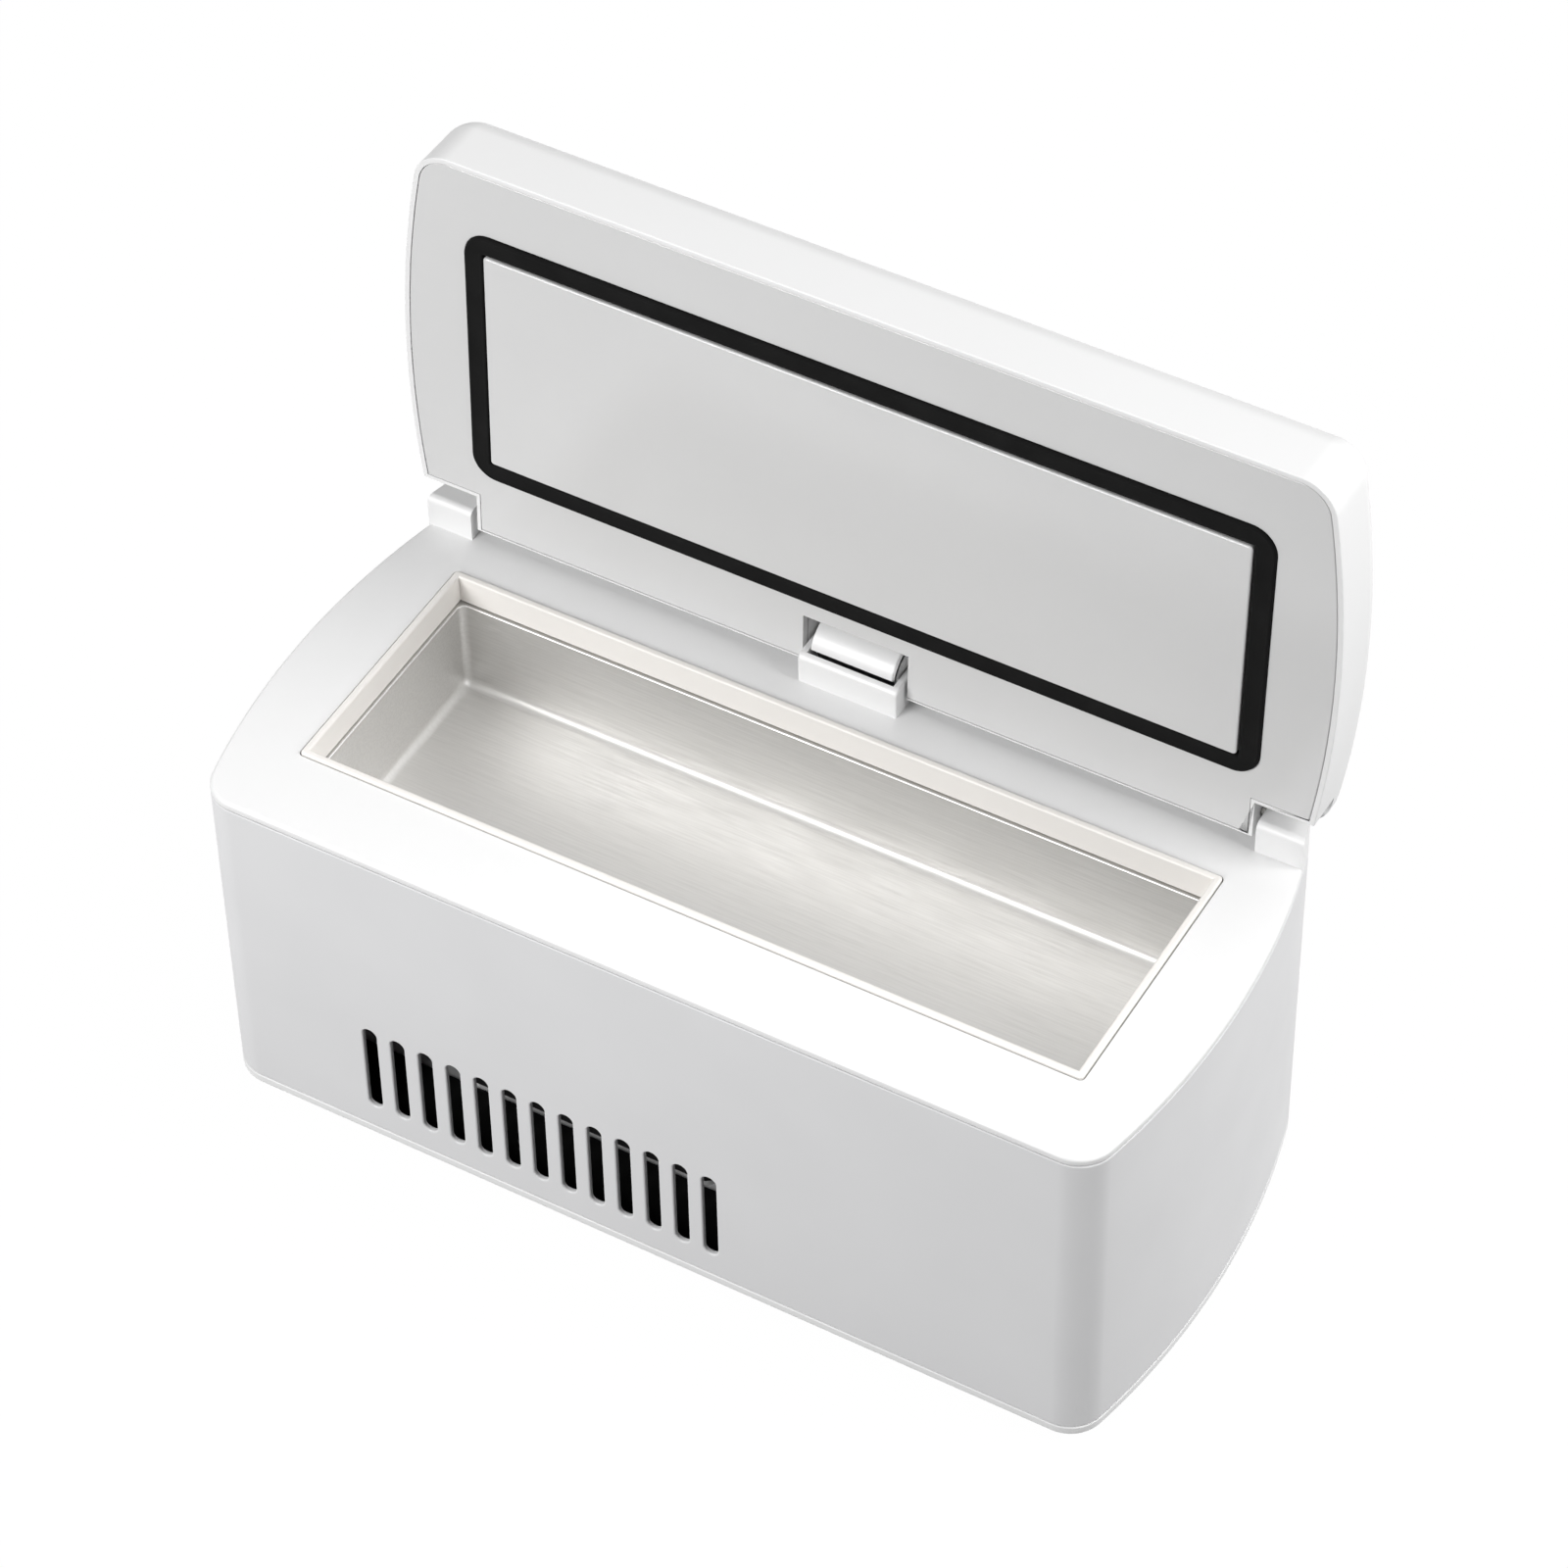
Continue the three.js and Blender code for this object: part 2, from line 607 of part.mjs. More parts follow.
function sideWall() {
  const ring = cut(
    planSlab(casePlan, 0, [wallLow, wallTop]),
    planSlab(casePlan, WALL, [wallLow - OVERRUN, wallTop + OVERRUN]),
  );
  const columns = columnSpots.map(([x, y]) => {
    const web = [y, Math.sign(y) * (caseHalfDepth - WALL / 2)].sort((a, b) => a - b);
    return join(
      rodZ(COLUMN_RADIUS, x, y, [columnLow, columnTop]),
      block(centred(x, COLUMN_WEB), web, [columnLow, columnTop]),
    );
  });
  const screwBore = [columnLow - OVERRUN, columnLow + SCREW_BITE];
  const pegBore = [deckUnder - PEG_LENGTH - CLEARANCE, columnTop + OVERRUN];
  const holes = columnSpots.flatMap(([x, y]) => [
    rodZ(SCREW_SHANK_RADIUS + CLEARANCE, x, y, screwBore, SMALL_SIDES),
    rodZ(PEG_RADIUS + CLEARANCE, x, y, pegBore, SMALL_SIDES),
  ]);
  const frontCut = [-caseHalfDepth - OVERRUN, -caseInnerRear + OVERRUN];
  const rearCut = [caseInnerRear - OVERRUN, caseHalfDepth + OVERRUN];
  const vents = ventShapes().flatMap((shape) => [
    alongY(shape, frontCut, SLOT_STEPS),
    alongY(shape, rearCut, SLOT_STEPS),
  ]);
  const jackHole = rodY(JACK_BARREL_RADIUS + CLEARANCE, jackX, rearCut, jackZ);
  return cut(join(ring, ...columns), ...holes, ...vents, jackHole);
}

// Profile in (y, z) of a hinge block: flat front with a round top edge, and a knuckle round the axis.
function hingeBlock(depth, height, x) {
  const front = hingeY - depth;
  const rear = hingeY + KNUCKLE_RADIUS;
  const low = deckTop - DECK_EDGE / 2;
  const top = deckTop + height;
  const profile = new THREE.Shape([
    new THREE.Vector2(front, low),
    new THREE.Vector2(rear, low),
    new THREE.Vector2(rear, top - BLOCK_ROUND),
    new THREE.Vector2(rear - BLOCK_ROUND, top),
    ...arc(front + BLOCK_ROUND, top - BLOCK_ROUND, BLOCK_ROUND, QUARTER_TURN, HALF_TURN, BEND_STEPS),
  ]);
  return alongX(profile, x);
}

function deckCover() {
  const endBlock = [endBlockX, endBlockX + END_BLOCK_WIDTH];
  const endBlocks = [endBlock, endBlock.map((x) => -x).reverse()].map((x) => join(
    hingeBlock(END_BLOCK_DEPTH, END_BLOCK_HEIGHT, x),
    rodX(KNUCKLE_RADIUS, x, hingeY, hingeZ),
  ));
  const centreBlock = hingeBlock(
    CENTRE_BLOCK_DEPTH,
    CENTRE_BLOCK_HEIGHT,
    [-CENTRE_BLOCK_HALF, CENTRE_BLOCK_HALF],
  );
  const blockBounds = planSlab(casePlan, 0, [deckSeam, lidTop]);
  const pegs = columnSpots.map(([x, y]) => (
    rodZ(PEG_RADIUS, x, y, [deckUnder - PEG_LENGTH, deckSeam], SMALL_SIDES)
  ));
  const plate = join(
    roundedSlab(casePlan, 0, [deckSeam, deckTop], DECK_EDGE_ROUND),
    planSlab(casePlan, WALL + CLEARANCE, [deckUnder, deckSeam]),
    ...[...endBlocks, centreBlock].map((shape) => common(shape, blockBounds)),
    ...pegs,
  );
  const opening = roundedRectangle(
    RIM_HALF_LENGTH + CLEARANCE,
    RIM_HALF_DEPTH + CLEARANCE,
    RIM_CORNER + CLEARANCE,
  );
  const boreEnd = pinOuter + CLEARANCE;
  const magnetSockets = [-MAGNET_OFFSET, MAGNET_OFFSET].map((x) => (
    rodZ(MAGNET_RADIUS + CLEARANCE, x, magnetY, [deckUnder - OVERRUN, deckTop - MAGNET_ROOF])
  ));
  const ribbonGap = RIBBON_THICKNESS + 2 * CLEARANCE;
  return cut(
    plate,
    slab(opening, [deckUnder - OVERRUN, deckTop + OVERRUN]),
    block([-slotHalf, slotHalf], [slotY, caseHalfDepth + OVERRUN], [deckTop, lidTop]),
    block(centred(0, 2 * slotHalf), centred(ribbonY, ribbonGap), [deckUnder - OVERRUN, deckTop + OVERRUN]),
    rodX(pinBore, [endBlockX - OVERRUN, boreEnd], hingeY, hingeZ, SMALL_SIDES),
    rodX(pinBore, [-boreEnd, OVERRUN - endBlockX], hingeY, hingeZ, SMALL_SIDES),
    ...magnetSockets,
  );
}

function baseCover() {
  const step = cut(
    planSlab(casePlan, WALL + CLEARANCE, [baseTop - OVERRUN, baseTop + BASE_STEP]),
    planSlab(casePlan, WALL + CLEARANCE + BASE_STEP_WALL, [baseTop, baseTop + BASE_STEP + OVERRUN]),
    block(
      [cradleX[0] - CLEARANCE, cradleX[1] + CLEARANCE],
      centred(0, 2 * (cradleHalfDepth + CLEARANCE)),
      [baseTop, baseTop + BASE_STEP + OVERRUN],
    ),
  );
  const inside = planSlab(casePlan, WALL + CLEARANCE, [baseTop - OVERRUN, baseTop + BASE_STEP]);
  const bosses = columnSpots.map(([x, y]) => (
    common(rodZ(COLUMN_RADIUS, x, y, [baseTop - OVERRUN, baseTop + BASE_STEP]), inside)
  ));
  const fanPosts = fanHoles().map(([x, y]) => (
    rodZ(FAN_POST_RADIUS, x, y, [baseTop - OVERRUN, fanLow - CLEARANCE], SMALL_SIDES)
  ));
  const body = join(
    roundedSlab(casePlan, 0, [baseUnder, baseTop], BASE_EDGE_ROUND, false),
    step,
    ...bosses,
    ...fanPosts,
  );
  const headRoom = [baseUnder - OVERRUN, baseUnder + SCREW_HEAD_HEIGHT + 2 * CLEARANCE];
  const screwHoles = columnSpots.flatMap(([x, y]) => [
    rodZ(SCREW_HEAD_RADIUS + CLEARANCE, x, y, headRoom, SMALL_SIDES),
    rodZ(SCREW_SHANK_RADIUS + CLEARANCE, x, y, [baseUnder, columnLow], SMALL_SIDES),
  ]);
  const footSockets = footSpots().map(([x, y]) => (
    rodZ(FOOT_RADIUS + CLEARANCE, x, y, [baseUnder - OVERRUN, baseUnder + FOOT_SOCKET])
  ));
  const intake = Array.from({ length: INTAKE_COUNT }, (_, number) => {
    const x = coldX + (number - (INTAKE_COUNT - 1) / 2) * INTAKE_PITCH;
    const slot = roundedRectangle(INTAKE_WIDTH / 2, INTAKE_LENGTH / 2, INTAKE_WIDTH / 2, x);
    return slab(slot, [baseUnder - OVERRUN, baseTop + OVERRUN], SLOT_STEPS);
  });
  return cut(body, ...screwHoles, ...footSockets, ...intake);
}

function footSpots() {
  return [[-footX, -footY], [footX, -footY], [-footX, footY], [footX, footY]];
}

function foot(x, y) {
  const profile = [
    new THREE.Vector2(0, 0),
    new THREE.Vector2(FOOT_RADIUS - FOOT_EDGE, 0),
    new THREE.Vector2(FOOT_RADIUS, FOOT_EDGE),
    new THREE.Vector2(FOOT_RADIUS, footTop),
    new THREE.Vector2(0, footTop),
  ];
  return new THREE.LatheGeometry(profile, ROUND_SIDES).rotateX(QUARTER_TURN).translate(x, y, 0);
}

function baseScrew(x, y) {
  const headLow = baseUnder + CLEARANCE;
  const headTop = headLow + SCREW_HEAD_HEIGHT;
  const shankTop = columnLow + SCREW_BITE - CLEARANCE;
  const crossTop = headLow + SCREW_CROSS_DEPTH;
  return cut(
    join(
      rodZ(SCREW_HEAD_RADIUS, x, y, [headLow, headTop], SMALL_SIDES),
      rodZ(SCREW_SHANK_RADIUS, x, y, [headTop - SCREW_CROSS_DEPTH, shankTop], SMALL_SIDES),
    ),
    block(centred(x, SCREW_CROSS_LENGTH), centred(y, SCREW_CROSS_WIDTH), [headLow - OVERRUN, crossTop]),
    block(centred(x, SCREW_CROSS_WIDTH), centred(y, SCREW_CROSS_LENGTH), [headLow - OVERRUN, crossTop]),
  );
}

function rimCollar() {
  const neck = roundedRectangle(RIM_HALF_LENGTH, RIM_HALF_DEPTH, RIM_CORNER);
  const flange = roundedRectangle(
    RIM_HALF_LENGTH + COLLAR_FLANGE_WIDTH,
    RIM_HALF_DEPTH + COLLAR_FLANGE_WIDTH,
    COLLAR_FLANGE_WIDTH,
  );
  return cut(
    join(slab(neck, [collarLow, deckTop + RIM_PROUD]), slab(flange, [collarLow, collarFlangeTop])),
    slab(rectangle(...mouthHalf), [collarLow - OVERRUN, deckTop + RIM_PROUD + OVERRUN]),
  );
}

function coldTank() {
  const outerCorner = TANK_CORNER + TANK_WALL;
  const flangeHalf = tankOuterHalf.map((half) => half + TANK_FLANGE_WIDTH);
  return cut(
    join(
      slab(roundedRectangle(...tankOuterHalf, outerCorner), [tankUnder, tankTop]),
      slab(roundedRectangle(...flangeHalf, outerCorner), [tankTop - TANK_WALL, tankTop]),
    ),
    slab(roundedRectangle(...tankInnerHalf, TANK_CORNER), [tankFloor, tankTop + OVERRUN]),
  );
}

function foamJacket() {
  const pocketCorner = TANK_CORNER + TANK_WALL + CLEARANCE;
  const sensorDepth = 2 * (SENSOR_RADIUS + CLEARANCE);
  return cut(
    slab(roundedRectangle(...foamHalf, FOAM_CORNER), [foamLow, foamTop]),
    slab(roundedRectangle(...foamPocketHalf, pocketCorner), [tankUnder - CLEARANCE, foamTop + OVERRUN]),
    block(
      centred(coldX, spacerLength + 2 * CLEARANCE),
      centred(0, SPACER_DEPTH + 2 * CLEARANCE),
      [foamLow - OVERRUN, tankUnder],
    ),
    block(
      centred(SENSOR_OFFSET, SENSOR_LENGTH + 2 * CLEARANCE),
      centred(0, sensorDepth),
      [tankUnder - CLEARANCE - sensorDepth, tankUnder],
    ),
  );
}

function temperatureSensor() {
  const z = tankUnder - CLEARANCE - SENSOR_RADIUS;
  return rodX(SENSOR_RADIUS, centred(SENSOR_OFFSET, SENSOR_LENGTH), 0, z, SMALL_SIDES);
}

function clampSpots() {
  return [coldX - clampReach, coldX + clampReach];
}

function coldSpacer() {
  const body = block(centred(coldX, spacerLength), centred(0, SPACER_DEPTH), [spacerLow, spacerTop]);
  const holes = clampSpots().map((x) => (
    rodZ(CLAMP_SHANK_RADIUS + CLEARANCE, x, 0, [spacerLow - OVERRUN, spacerLow + CLAMP_BITE], SMALL_SIDES)
  ));
  return cut(body, ...holes);
}

function thermoelectricModule() {
  const full = centred(coldX, MODULE_SIZE);
  const core = MODULE_SIZE - 2 * MODULE_CORE_INSET;
  return join(
    block(full, centred(0, MODULE_SIZE), [moduleLow, moduleLow + MODULE_PLATE]),
    block(centred(coldX, core), centred(0, core), [moduleLow, moduleTop]),
    block(full, centred(0, MODULE_SIZE), [moduleTop - MODULE_PLATE, moduleTop]),
  );
}

function heatSink() {
  const plate = block(centred(coldX, SINK_WIDTH), centred(0, sinkDepth), [sinkLow, sinkTop]);
  const finStep = (SINK_WIDTH - FIN_THICKNESS) / (FIN_COUNT - 1);
  const fins = Array.from({ length: FIN_COUNT }, (_, number) => {
    const x = coldX + (number - (FIN_COUNT - 1) / 2) * finStep;
    return block(centred(x, FIN_THICKNESS), centred(0, sinkDepth), [finLow, sinkLow + SINK_BASE / 2]);
  });
  const screwRoom = clampSpots().flatMap((x) => [
    rodZ(CLAMP_HEAD_RADIUS + CLEARANCE, x, 0, [finLow - OVERRUN, sinkLow], SMALL_SIDES),
    rodZ(CLAMP_SHANK_RADIUS + CLEARANCE, x, 0, [finLow, sinkTop + OVERRUN], SMALL_SIDES),
  ]);
  return cut(join(plate, ...fins), ...screwRoom);
}

function clampScrew(x) {
  const headTop = sinkLow - CLEARANCE;
  const headLow = headTop - CLAMP_HEAD_HEIGHT;
  const shank = [headTop - SCREW_CROSS_DEPTH, spacerLow + CLAMP_BITE - CLEARANCE];
  const slot = [headLow - OVERRUN, headLow + SCREW_CROSS_DEPTH];
  return cut(
    join(
      rodZ(CLAMP_HEAD_RADIUS, x, 0, [headLow, headTop], SMALL_SIDES),
      rodZ(CLAMP_SHANK_RADIUS, x, 0, shank, SMALL_SIDES),
    ),
    block(centred(x, SCREW_CROSS_LENGTH), centred(0, SCREW_CROSS_WIDTH), slot),
  );
}

function fanHoles() {
  const reach = FAN_SIZE / 2 - FAN_HOLE_INSET;
  return [[-reach, -reach], [reach, -reach], [-reach, reach], [reach, reach]].map(([x, y]) => [coldX + x, y]);
}

const fanBoreRadius = FAN_SIZE / 2 - FAN_RIM;
const motorTop = fanLow + FAN_MOTOR_HEIGHT;

function fanFrame() {
  const outline = roundedRectangle(FAN_SIZE / 2, FAN_SIZE / 2, FAN_CORNER, coldX);
  const holes = fanHoles().map(([x, y]) => (
    rodZ(FAN_HOLE_RADIUS, x, y, [fanLow - OVERRUN, fanTop + OVERRUN], SMALL_SIDES)
  ));
  const ring = cut(
    slab(outline, [fanLow, fanTop]),
    rodZ(fanBoreRadius, coldX, 0, [fanLow - OVERRUN, fanTop + OVERRUN], BORE_SIDES),
    ...holes,
  );
  const struts = Array.from({ length: FAN_STRUT_COUNT }, (_, number) => {
    const reach = fanBoreRadius + FAN_RIM / 2;
    const strut = block([0, reach], centred(0, FAN_STRUT_WIDTH), [fanLow, motorTop]);
    return strut.rotateZ((FULL_TURN * number) / FAN_STRUT_COUNT).translate(coldX, 0, 0);
  });
  return join(
    ring,
    ...struts,
    rodZ(FAN_MOTOR_RADIUS, coldX, 0, [fanLow, motorTop]),
    rodZ(FAN_SHAFT_RADIUS, coldX, 0, [fanLow, motorTop + FAN_SHAFT_LENGTH], SMALL_SIDES),
  );
}

function fanRotor() {
  const low = motorTop + CLEARANCE;
  const top = fanTop - CLEARANCE;
  const tip = fanBoreRadius - FAN_TIP_GAP;
  const middle = (low + top) / 2;
  const bladeLength = tip - FAN_HUB_RADIUS / 2;
  const blades = Array.from({ length: FAN_BLADE_COUNT }, (_, number) => {
    const blade = new THREE.BoxGeometry(bladeLength, FAN_BLADE_CHORD, FAN_BLADE_THICKNESS);
    blade.rotateX(FAN_BLADE_PITCH).translate(tip - bladeLength / 2, 0, 0);
    return blade.rotateZ((FULL_TURN * number) / FAN_BLADE_COUNT).translate(coldX, 0, middle);
  });
  const sweep = rodZ(tip, coldX, 0, [low, top], BORE_SIDES);
  const shaftRoom = rodZ(
    FAN_SHAFT_RADIUS + CLEARANCE,
    coldX,
    0,
    [low - OVERRUN, motorTop + FAN_SHAFT_LENGTH + CLEARANCE],
    SMALL_SIDES,
  );
  return cut(join(rodZ(FAN_HUB_RADIUS, coldX, 0, [low, top]), common(join(...blades), sweep)), shaftRoom);
}

function batteryCradle() {
  const endHeight = [cradleLow, cradleTop + CRADLE_END_HEIGHT];
  const ends = [[cellEnd, cellEnd + CRADLE_END_WALL], [-cellEnd - CRADLE_END_WALL, -cellEnd]];
  const posts = cradleX.flatMap((edge, side) => {
    const inset = BOARD_POST_RADIUS + BOARD_POST_EDGE;
    const x = side === 0 ? edge + inset : edge - inset;
    const height = [cradleLow, boardLow - CLEARANCE];
    return [-postY, postY].map((y) => rodZ(BOARD_POST_RADIUS, x, y, height, SMALL_SIDES));
  });
  return join(
    block(cradleX, [-cradleHalfDepth, cradleHalfDepth], [cradleLow, cradleTop]),
    ...ends.map((y) => block(cradleX, y, endHeight)),
    ...posts,
  );
}

function batteryCell(number) {
  const x = batteryLeft + CELL_RADIUS + number * cellPitch;
  const half = CELL_LENGTH / 2;
  const shoulder = half - CELL_CAP_HEIGHT;
  const profile = [
    new THREE.Vector2(0, -half),
    new THREE.Vector2(CELL_RADIUS - CELL_EDGE, -half),
    new THREE.Vector2(CELL_RADIUS, CELL_EDGE - half),
    new THREE.Vector2(CELL_RADIUS, shoulder - CELL_EDGE),
    new THREE.Vector2(CELL_RADIUS - CELL_EDGE, shoulder),
    new THREE.Vector2(CELL_CAP_RADIUS, shoulder),
    new THREE.Vector2(CELL_CAP_RADIUS, half),
    new THREE.Vector2(0, half),
  ];
  return new THREE.LatheGeometry(profile, ROUND_SIDES).translate(x, 0, cellCentreZ);
}

function controlBoard() {
  const [left, right] = cradleX;
  const middle = (left + right) / 2;
  const root = boardTop - BOARD_THICKNESS / 2;
  const headerX = centred(left + HEADER_LENGTH / 2, HEADER_LENGTH);
  return join(
    block([left, right], [-cradleHalfDepth, boardRear], [boardLow, boardTop]),
    block(centred(middle, CHIP_SIZE), centred(0, CHIP_SIZE), [root, boardTop + CHIP_HEIGHT]),
    rodZ(COIL_RADIUS, middle, 2 * CHIP_SIZE, [root, boardTop + COIL_HEIGHT]),
    ...[-1, 1].map((side) => rodZ(
      CAPACITOR_RADIUS,
      middle + side * CHIP_SIZE,
      -2 * CHIP_SIZE,
      [root, boardTop + CAPACITOR_HEIGHT],
      SMALL_SIDES,
    )),
    block(headerX, [boardRear - HEADER_DEPTH, boardRear], [root, boardTop + HEADER_HEIGHT]),
  );
}

function dcJack() {
  const bodyRear = caseInnerRear - CLEARANCE;
  const mouth = caseHalfDepth - JACK_RECESS;
  const socketEnd = mouth - JACK_SOCKET_DEPTH;
  const height = [jackLow, jackLow + JACK_HEIGHT];
  return join(
    cut(
      join(
        block(centred(jackX, JACK_WIDTH), [bodyRear - JACK_DEPTH, bodyRear], height),
        rodY(JACK_BARREL_RADIUS, jackX, [bodyRear - OVERRUN, mouth], jackZ),
      ),
      rodY(JACK_SOCKET_RADIUS, jackX, [socketEnd, mouth + OVERRUN], jackZ),
    ),
    rodY(JACK_PIN_RADIUS, jackX, [socketEnd - OVERRUN, mouth - OVERRUN], jackZ, SMALL_SIDES),
  );
}

// Ribbon of the flat cable, along a path drawn in (y, z) from the hinge down to the board.
function ribbonCable() {
  const jogZ = (collarFlangeTop + foamTop) / 2;
  const bend = RIBBON_BEND;
  const path = [
    new THREE.Vector2(ribbonY, deckTop + RIBBON_STAND),
    ...arc(ribbonY + bend, jogZ + bend, bend, HALF_TURN, HALF_TURN + QUARTER_TURN, BEND_STEPS),
    ...arc(ribbonWallY - bend, jogZ - bend, bend, QUARTER_TURN, 0, BEND_STEPS),
    new THREE.Vector2(ribbonWallY, boardTop + RIBBON_RUN_RISE),
  ];
  const side = (offset) => path.map((point, number) => {
    const before = path[Math.max(number - 1, 0)];
    const after = path[Math.min(number + 1, path.length - 1)];
    const along = after.clone().sub(before).normalize();
    return new THREE.Vector2(point.x - along.y * offset, point.y + along.x * offset);
  });
  const half = RIBBON_THICKNESS / 2;
  const profile = new THREE.Shape([...side(half), ...side(-half).reverse()]);
  const runLow = boardTop + RIBBON_RUN_RISE;
  return join(
    alongX(profile, [-ribbonHalf, ribbonHalf]),
    block(
      [-ribbonHalf, cradleX[0] + HEADER_LENGTH],
      centred(ribbonWallY, RIBBON_THICKNESS),
      [runLow, runLow + RIBBON_RUN_HEIGHT],
    ),
  );
}

function deckMagnet(x) {
  const top = deckTop - MAGNET_ROOF - CLEARANCE;
  return rodZ(MAGNET_RADIUS, x, magnetY, [top - MAGNET_THICKNESS, top]);
}

function hingePin(side) {
  const reach = [pinInner, pinOuter];
  const x = side > 0 ? reach : reach.map((end) => -end).reverse();
  return rodX(PIN_RADIUS, x, hingeY, hingeZ, SMALL_SIDES);
}

// The three notches in the lid that the hinge blocks stand in, grown by a wall where it is given.
function notches(zLow, wall = 0, bearing = 0) {
  const rear = caseHalfDepth + OVERRUN;
  const end = caseHalfLength + OVERRUN;
  const z = [zLow, notchTop + wall];
  return [
    block([endNotchX - bearing, end], [endNotchY - wall, rear], z),
    block([-end, bearing - endNotchX], [endNotchY - wall, rear], z),
    block([-centreNotchX - wall, centreNotchX + wall], [centreNotchY - wall, rear], z),
  ];
}

function lidShell() {
  const outer = solid(roundedSlab(lidPlan, 0, [lidFace, lidTop], LID_EDGE_ROUND));
  const cavity = join(
    planSlab(lidPlan, LID_LAND, [lidFace - OVERRUN, lidInside]),
    roundedSlab(lidPlan, LID_WALL, [lidFace, lidCeiling], LID_EDGE_ROUND - LID_WALL),
  );
  const walls = common(join(...notches(lidInside, NOTCH_WALL, NOTCH_BEARING)), outer);
  const bosses = displayBossSpots().map(([x, y]) => (
    rodZ(DISPLAY_BOSS_RADIUS, x, y, [displayBoardTop + CLEARANCE, lidTop - WINDOW_THICKNESS], SMALL_SIDES)
  ));
  const windowPocket = roundedRectangle(
    WINDOW_HALF_LENGTH + CLEARANCE,
    WINDOW_HALF_DEPTH + CLEARANCE,
    WINDOW_CORNER + CLEARANCE,
    0,
    DISPLAY_SHIFT,
  );
  const sight = rectangle(WINDOW_HALF_LENGTH - WINDOW_LEDGE, WINDOW_HALF_DEPTH - WINDOW_LEDGE, DISPLAY_SHIFT);
  const buttonHoles = [-BUTTON_OFFSET, BUTTON_OFFSET].map((x) => (
    rodZ(BUTTON_RADIUS + CLEARANCE, x, DISPLAY_SHIFT, [lidCeiling - OVERRUN, lidTop + OVERRUN])
  ));
  const bearing = [pinInner - CLEARANCE, endNotchX + OVERRUN];
  return cut(
    join(cut(outer, cavity), walls, ...bosses),
    ...notches(lidFace - OVERRUN),
    slab(windowPocket, [lidTop - WINDOW_THICKNESS - CLEARANCE, lidTop + OVERRUN]),
    slab(sight, [lidCeiling - OVERRUN, lidTop]),
    ...buttonHoles,
    rodX(pinBore, bearing, hingeY, hingeZ, SMALL_SIDES),
    rodX(pinBore, bearing.map((x) => -x).reverse(), hingeY, hingeZ, SMALL_SIDES),
  );
}

function lidPanel() {
  const pocket = roundedRectangle(
    ...gasketHalf.map((half) => half + CLEARANCE),
    GASKET_CORNER + CLEARANCE,
  );
  const magnetSockets = [-MAGNET_OFFSET, MAGNET_OFFSET].map((x) => (
    rodZ(MAGNET_RADIUS + CLEARANCE, x, magnetY, [panelTop - MAGNET_SEAT, panelTop + OVERRUN])
  ));
  return cut(
    planSlab(lidPlan, LID_LAND + CLEARANCE, [lidFace, panelTop]),
    slab(pocket, [lidFace - OVERRUN, lidFace + PANEL_POCKET]),
    ...notches(lidFace - OVERRUN),
    ...magnetSockets,
  );
}

function lidMagnet(x) {
  const low = panelTop - MAGNET_SEAT + CLEARANCE;
  return rodZ(MAGNET_RADIUS, x, magnetY, [low, low + MAGNET_THICKNESS]);
}

function lidGasket() {
  const ring = roundedRectangle(...gasketHalf, GASKET_CORNER);
  const z = [lidFace - GASKET_PROUD, lidFace + PANEL_POCKET - CLEARANCE];
  return cut(slab(ring, z), slab(rectangle(...gasketInnerHalf), [z[0] - OVERRUN, z[1] + OVERRUN]));
}

function lidPlug() {
  const half = gasketInnerHalf.map((size) => size - CLEARANCE);
  const narrow = half.map((size) => size - PLUG_CHAMFER);
  const low = lidFace - PLUG_PROUD;
  return loft([
    { outline: rectangle(...narrow).getPoints(), z: low },
    { outline: rectangle(...half).getPoints(), z: low + PLUG_CHAMFER },
    { outline: rectangle(...half).getPoints(), z: lidFace + PANEL_POCKET - CLEARANCE },
  ]);
}

function lidFoam() {
  const front = magnetY + MAGNET_RADIUS + MAGNET_FOAM_GAP;
  const rear = centreNotchY - NOTCH_WALL - CLEARANCE;
  const outline = roundedRectangle(gasketHalf[0], (rear - front) / 2, GASKET_CORNER, 0, (rear + front) / 2);
  return slab(outline, [lidInside, displayBoardLow - CLEARANCE]);
}

// Part of a ring about the hinge axis, from one angle to another, drawn along the barrel.
function hingeRing(inner, outer, from, to, half) {
  const profile = new THREE.Shape([
    ...arc(hingeY, hingeZ, outer, from, to, HOOD_STEPS),
    ...arc(hingeY, hingeZ, inner, to, from, HOOD_STEPS),
  ]);
  return alongX(profile, [-half, half]);
}

// Barrel about the hinge axis, with a hood in front that hides where the flat cable enters the lid.
function cableCover() {
  const half = slotHalf - BARREL_SIDE_GAP;
  const root = HALF_TURN - OVERRUN / HOOD_RADIUS;
  return join(
    rodX(BARREL_RADIUS, [-half, half], hingeY, hingeZ),
    hingeRing(HOOD_RADIUS - HOOD_WALL, HOOD_RADIUS, root, HALF_TURN + HOOD_REACH, half),
    block(
      [-half, half],
      [hingeY - HOOD_RADIUS, hingeY + BARREL_RADIUS],
      [hingeZ, notchTop - CLEARANCE],
    ),
  );
}

// The stretch of the flat cable that winds on the barrel and turns with the lid.
function cableWrap() {
  const start = HALF_TURN + (2 * CLEARANCE) / wrapInner;
  const outer = wrapInner + RIBBON_THICKNESS;
  return hingeRing(wrapInner, outer, start, HALF_TURN + WRAP_REACH, ribbonHalf);
}

function displayWindow() {
  const outline = roundedRectangle(WINDOW_HALF_LENGTH, WINDOW_HALF_DEPTH, WINDOW_CORNER, 0, DISPLAY_SHIFT);
  return slab(outline, [lidTop - WINDOW_THICKNESS, lidTop]);
}

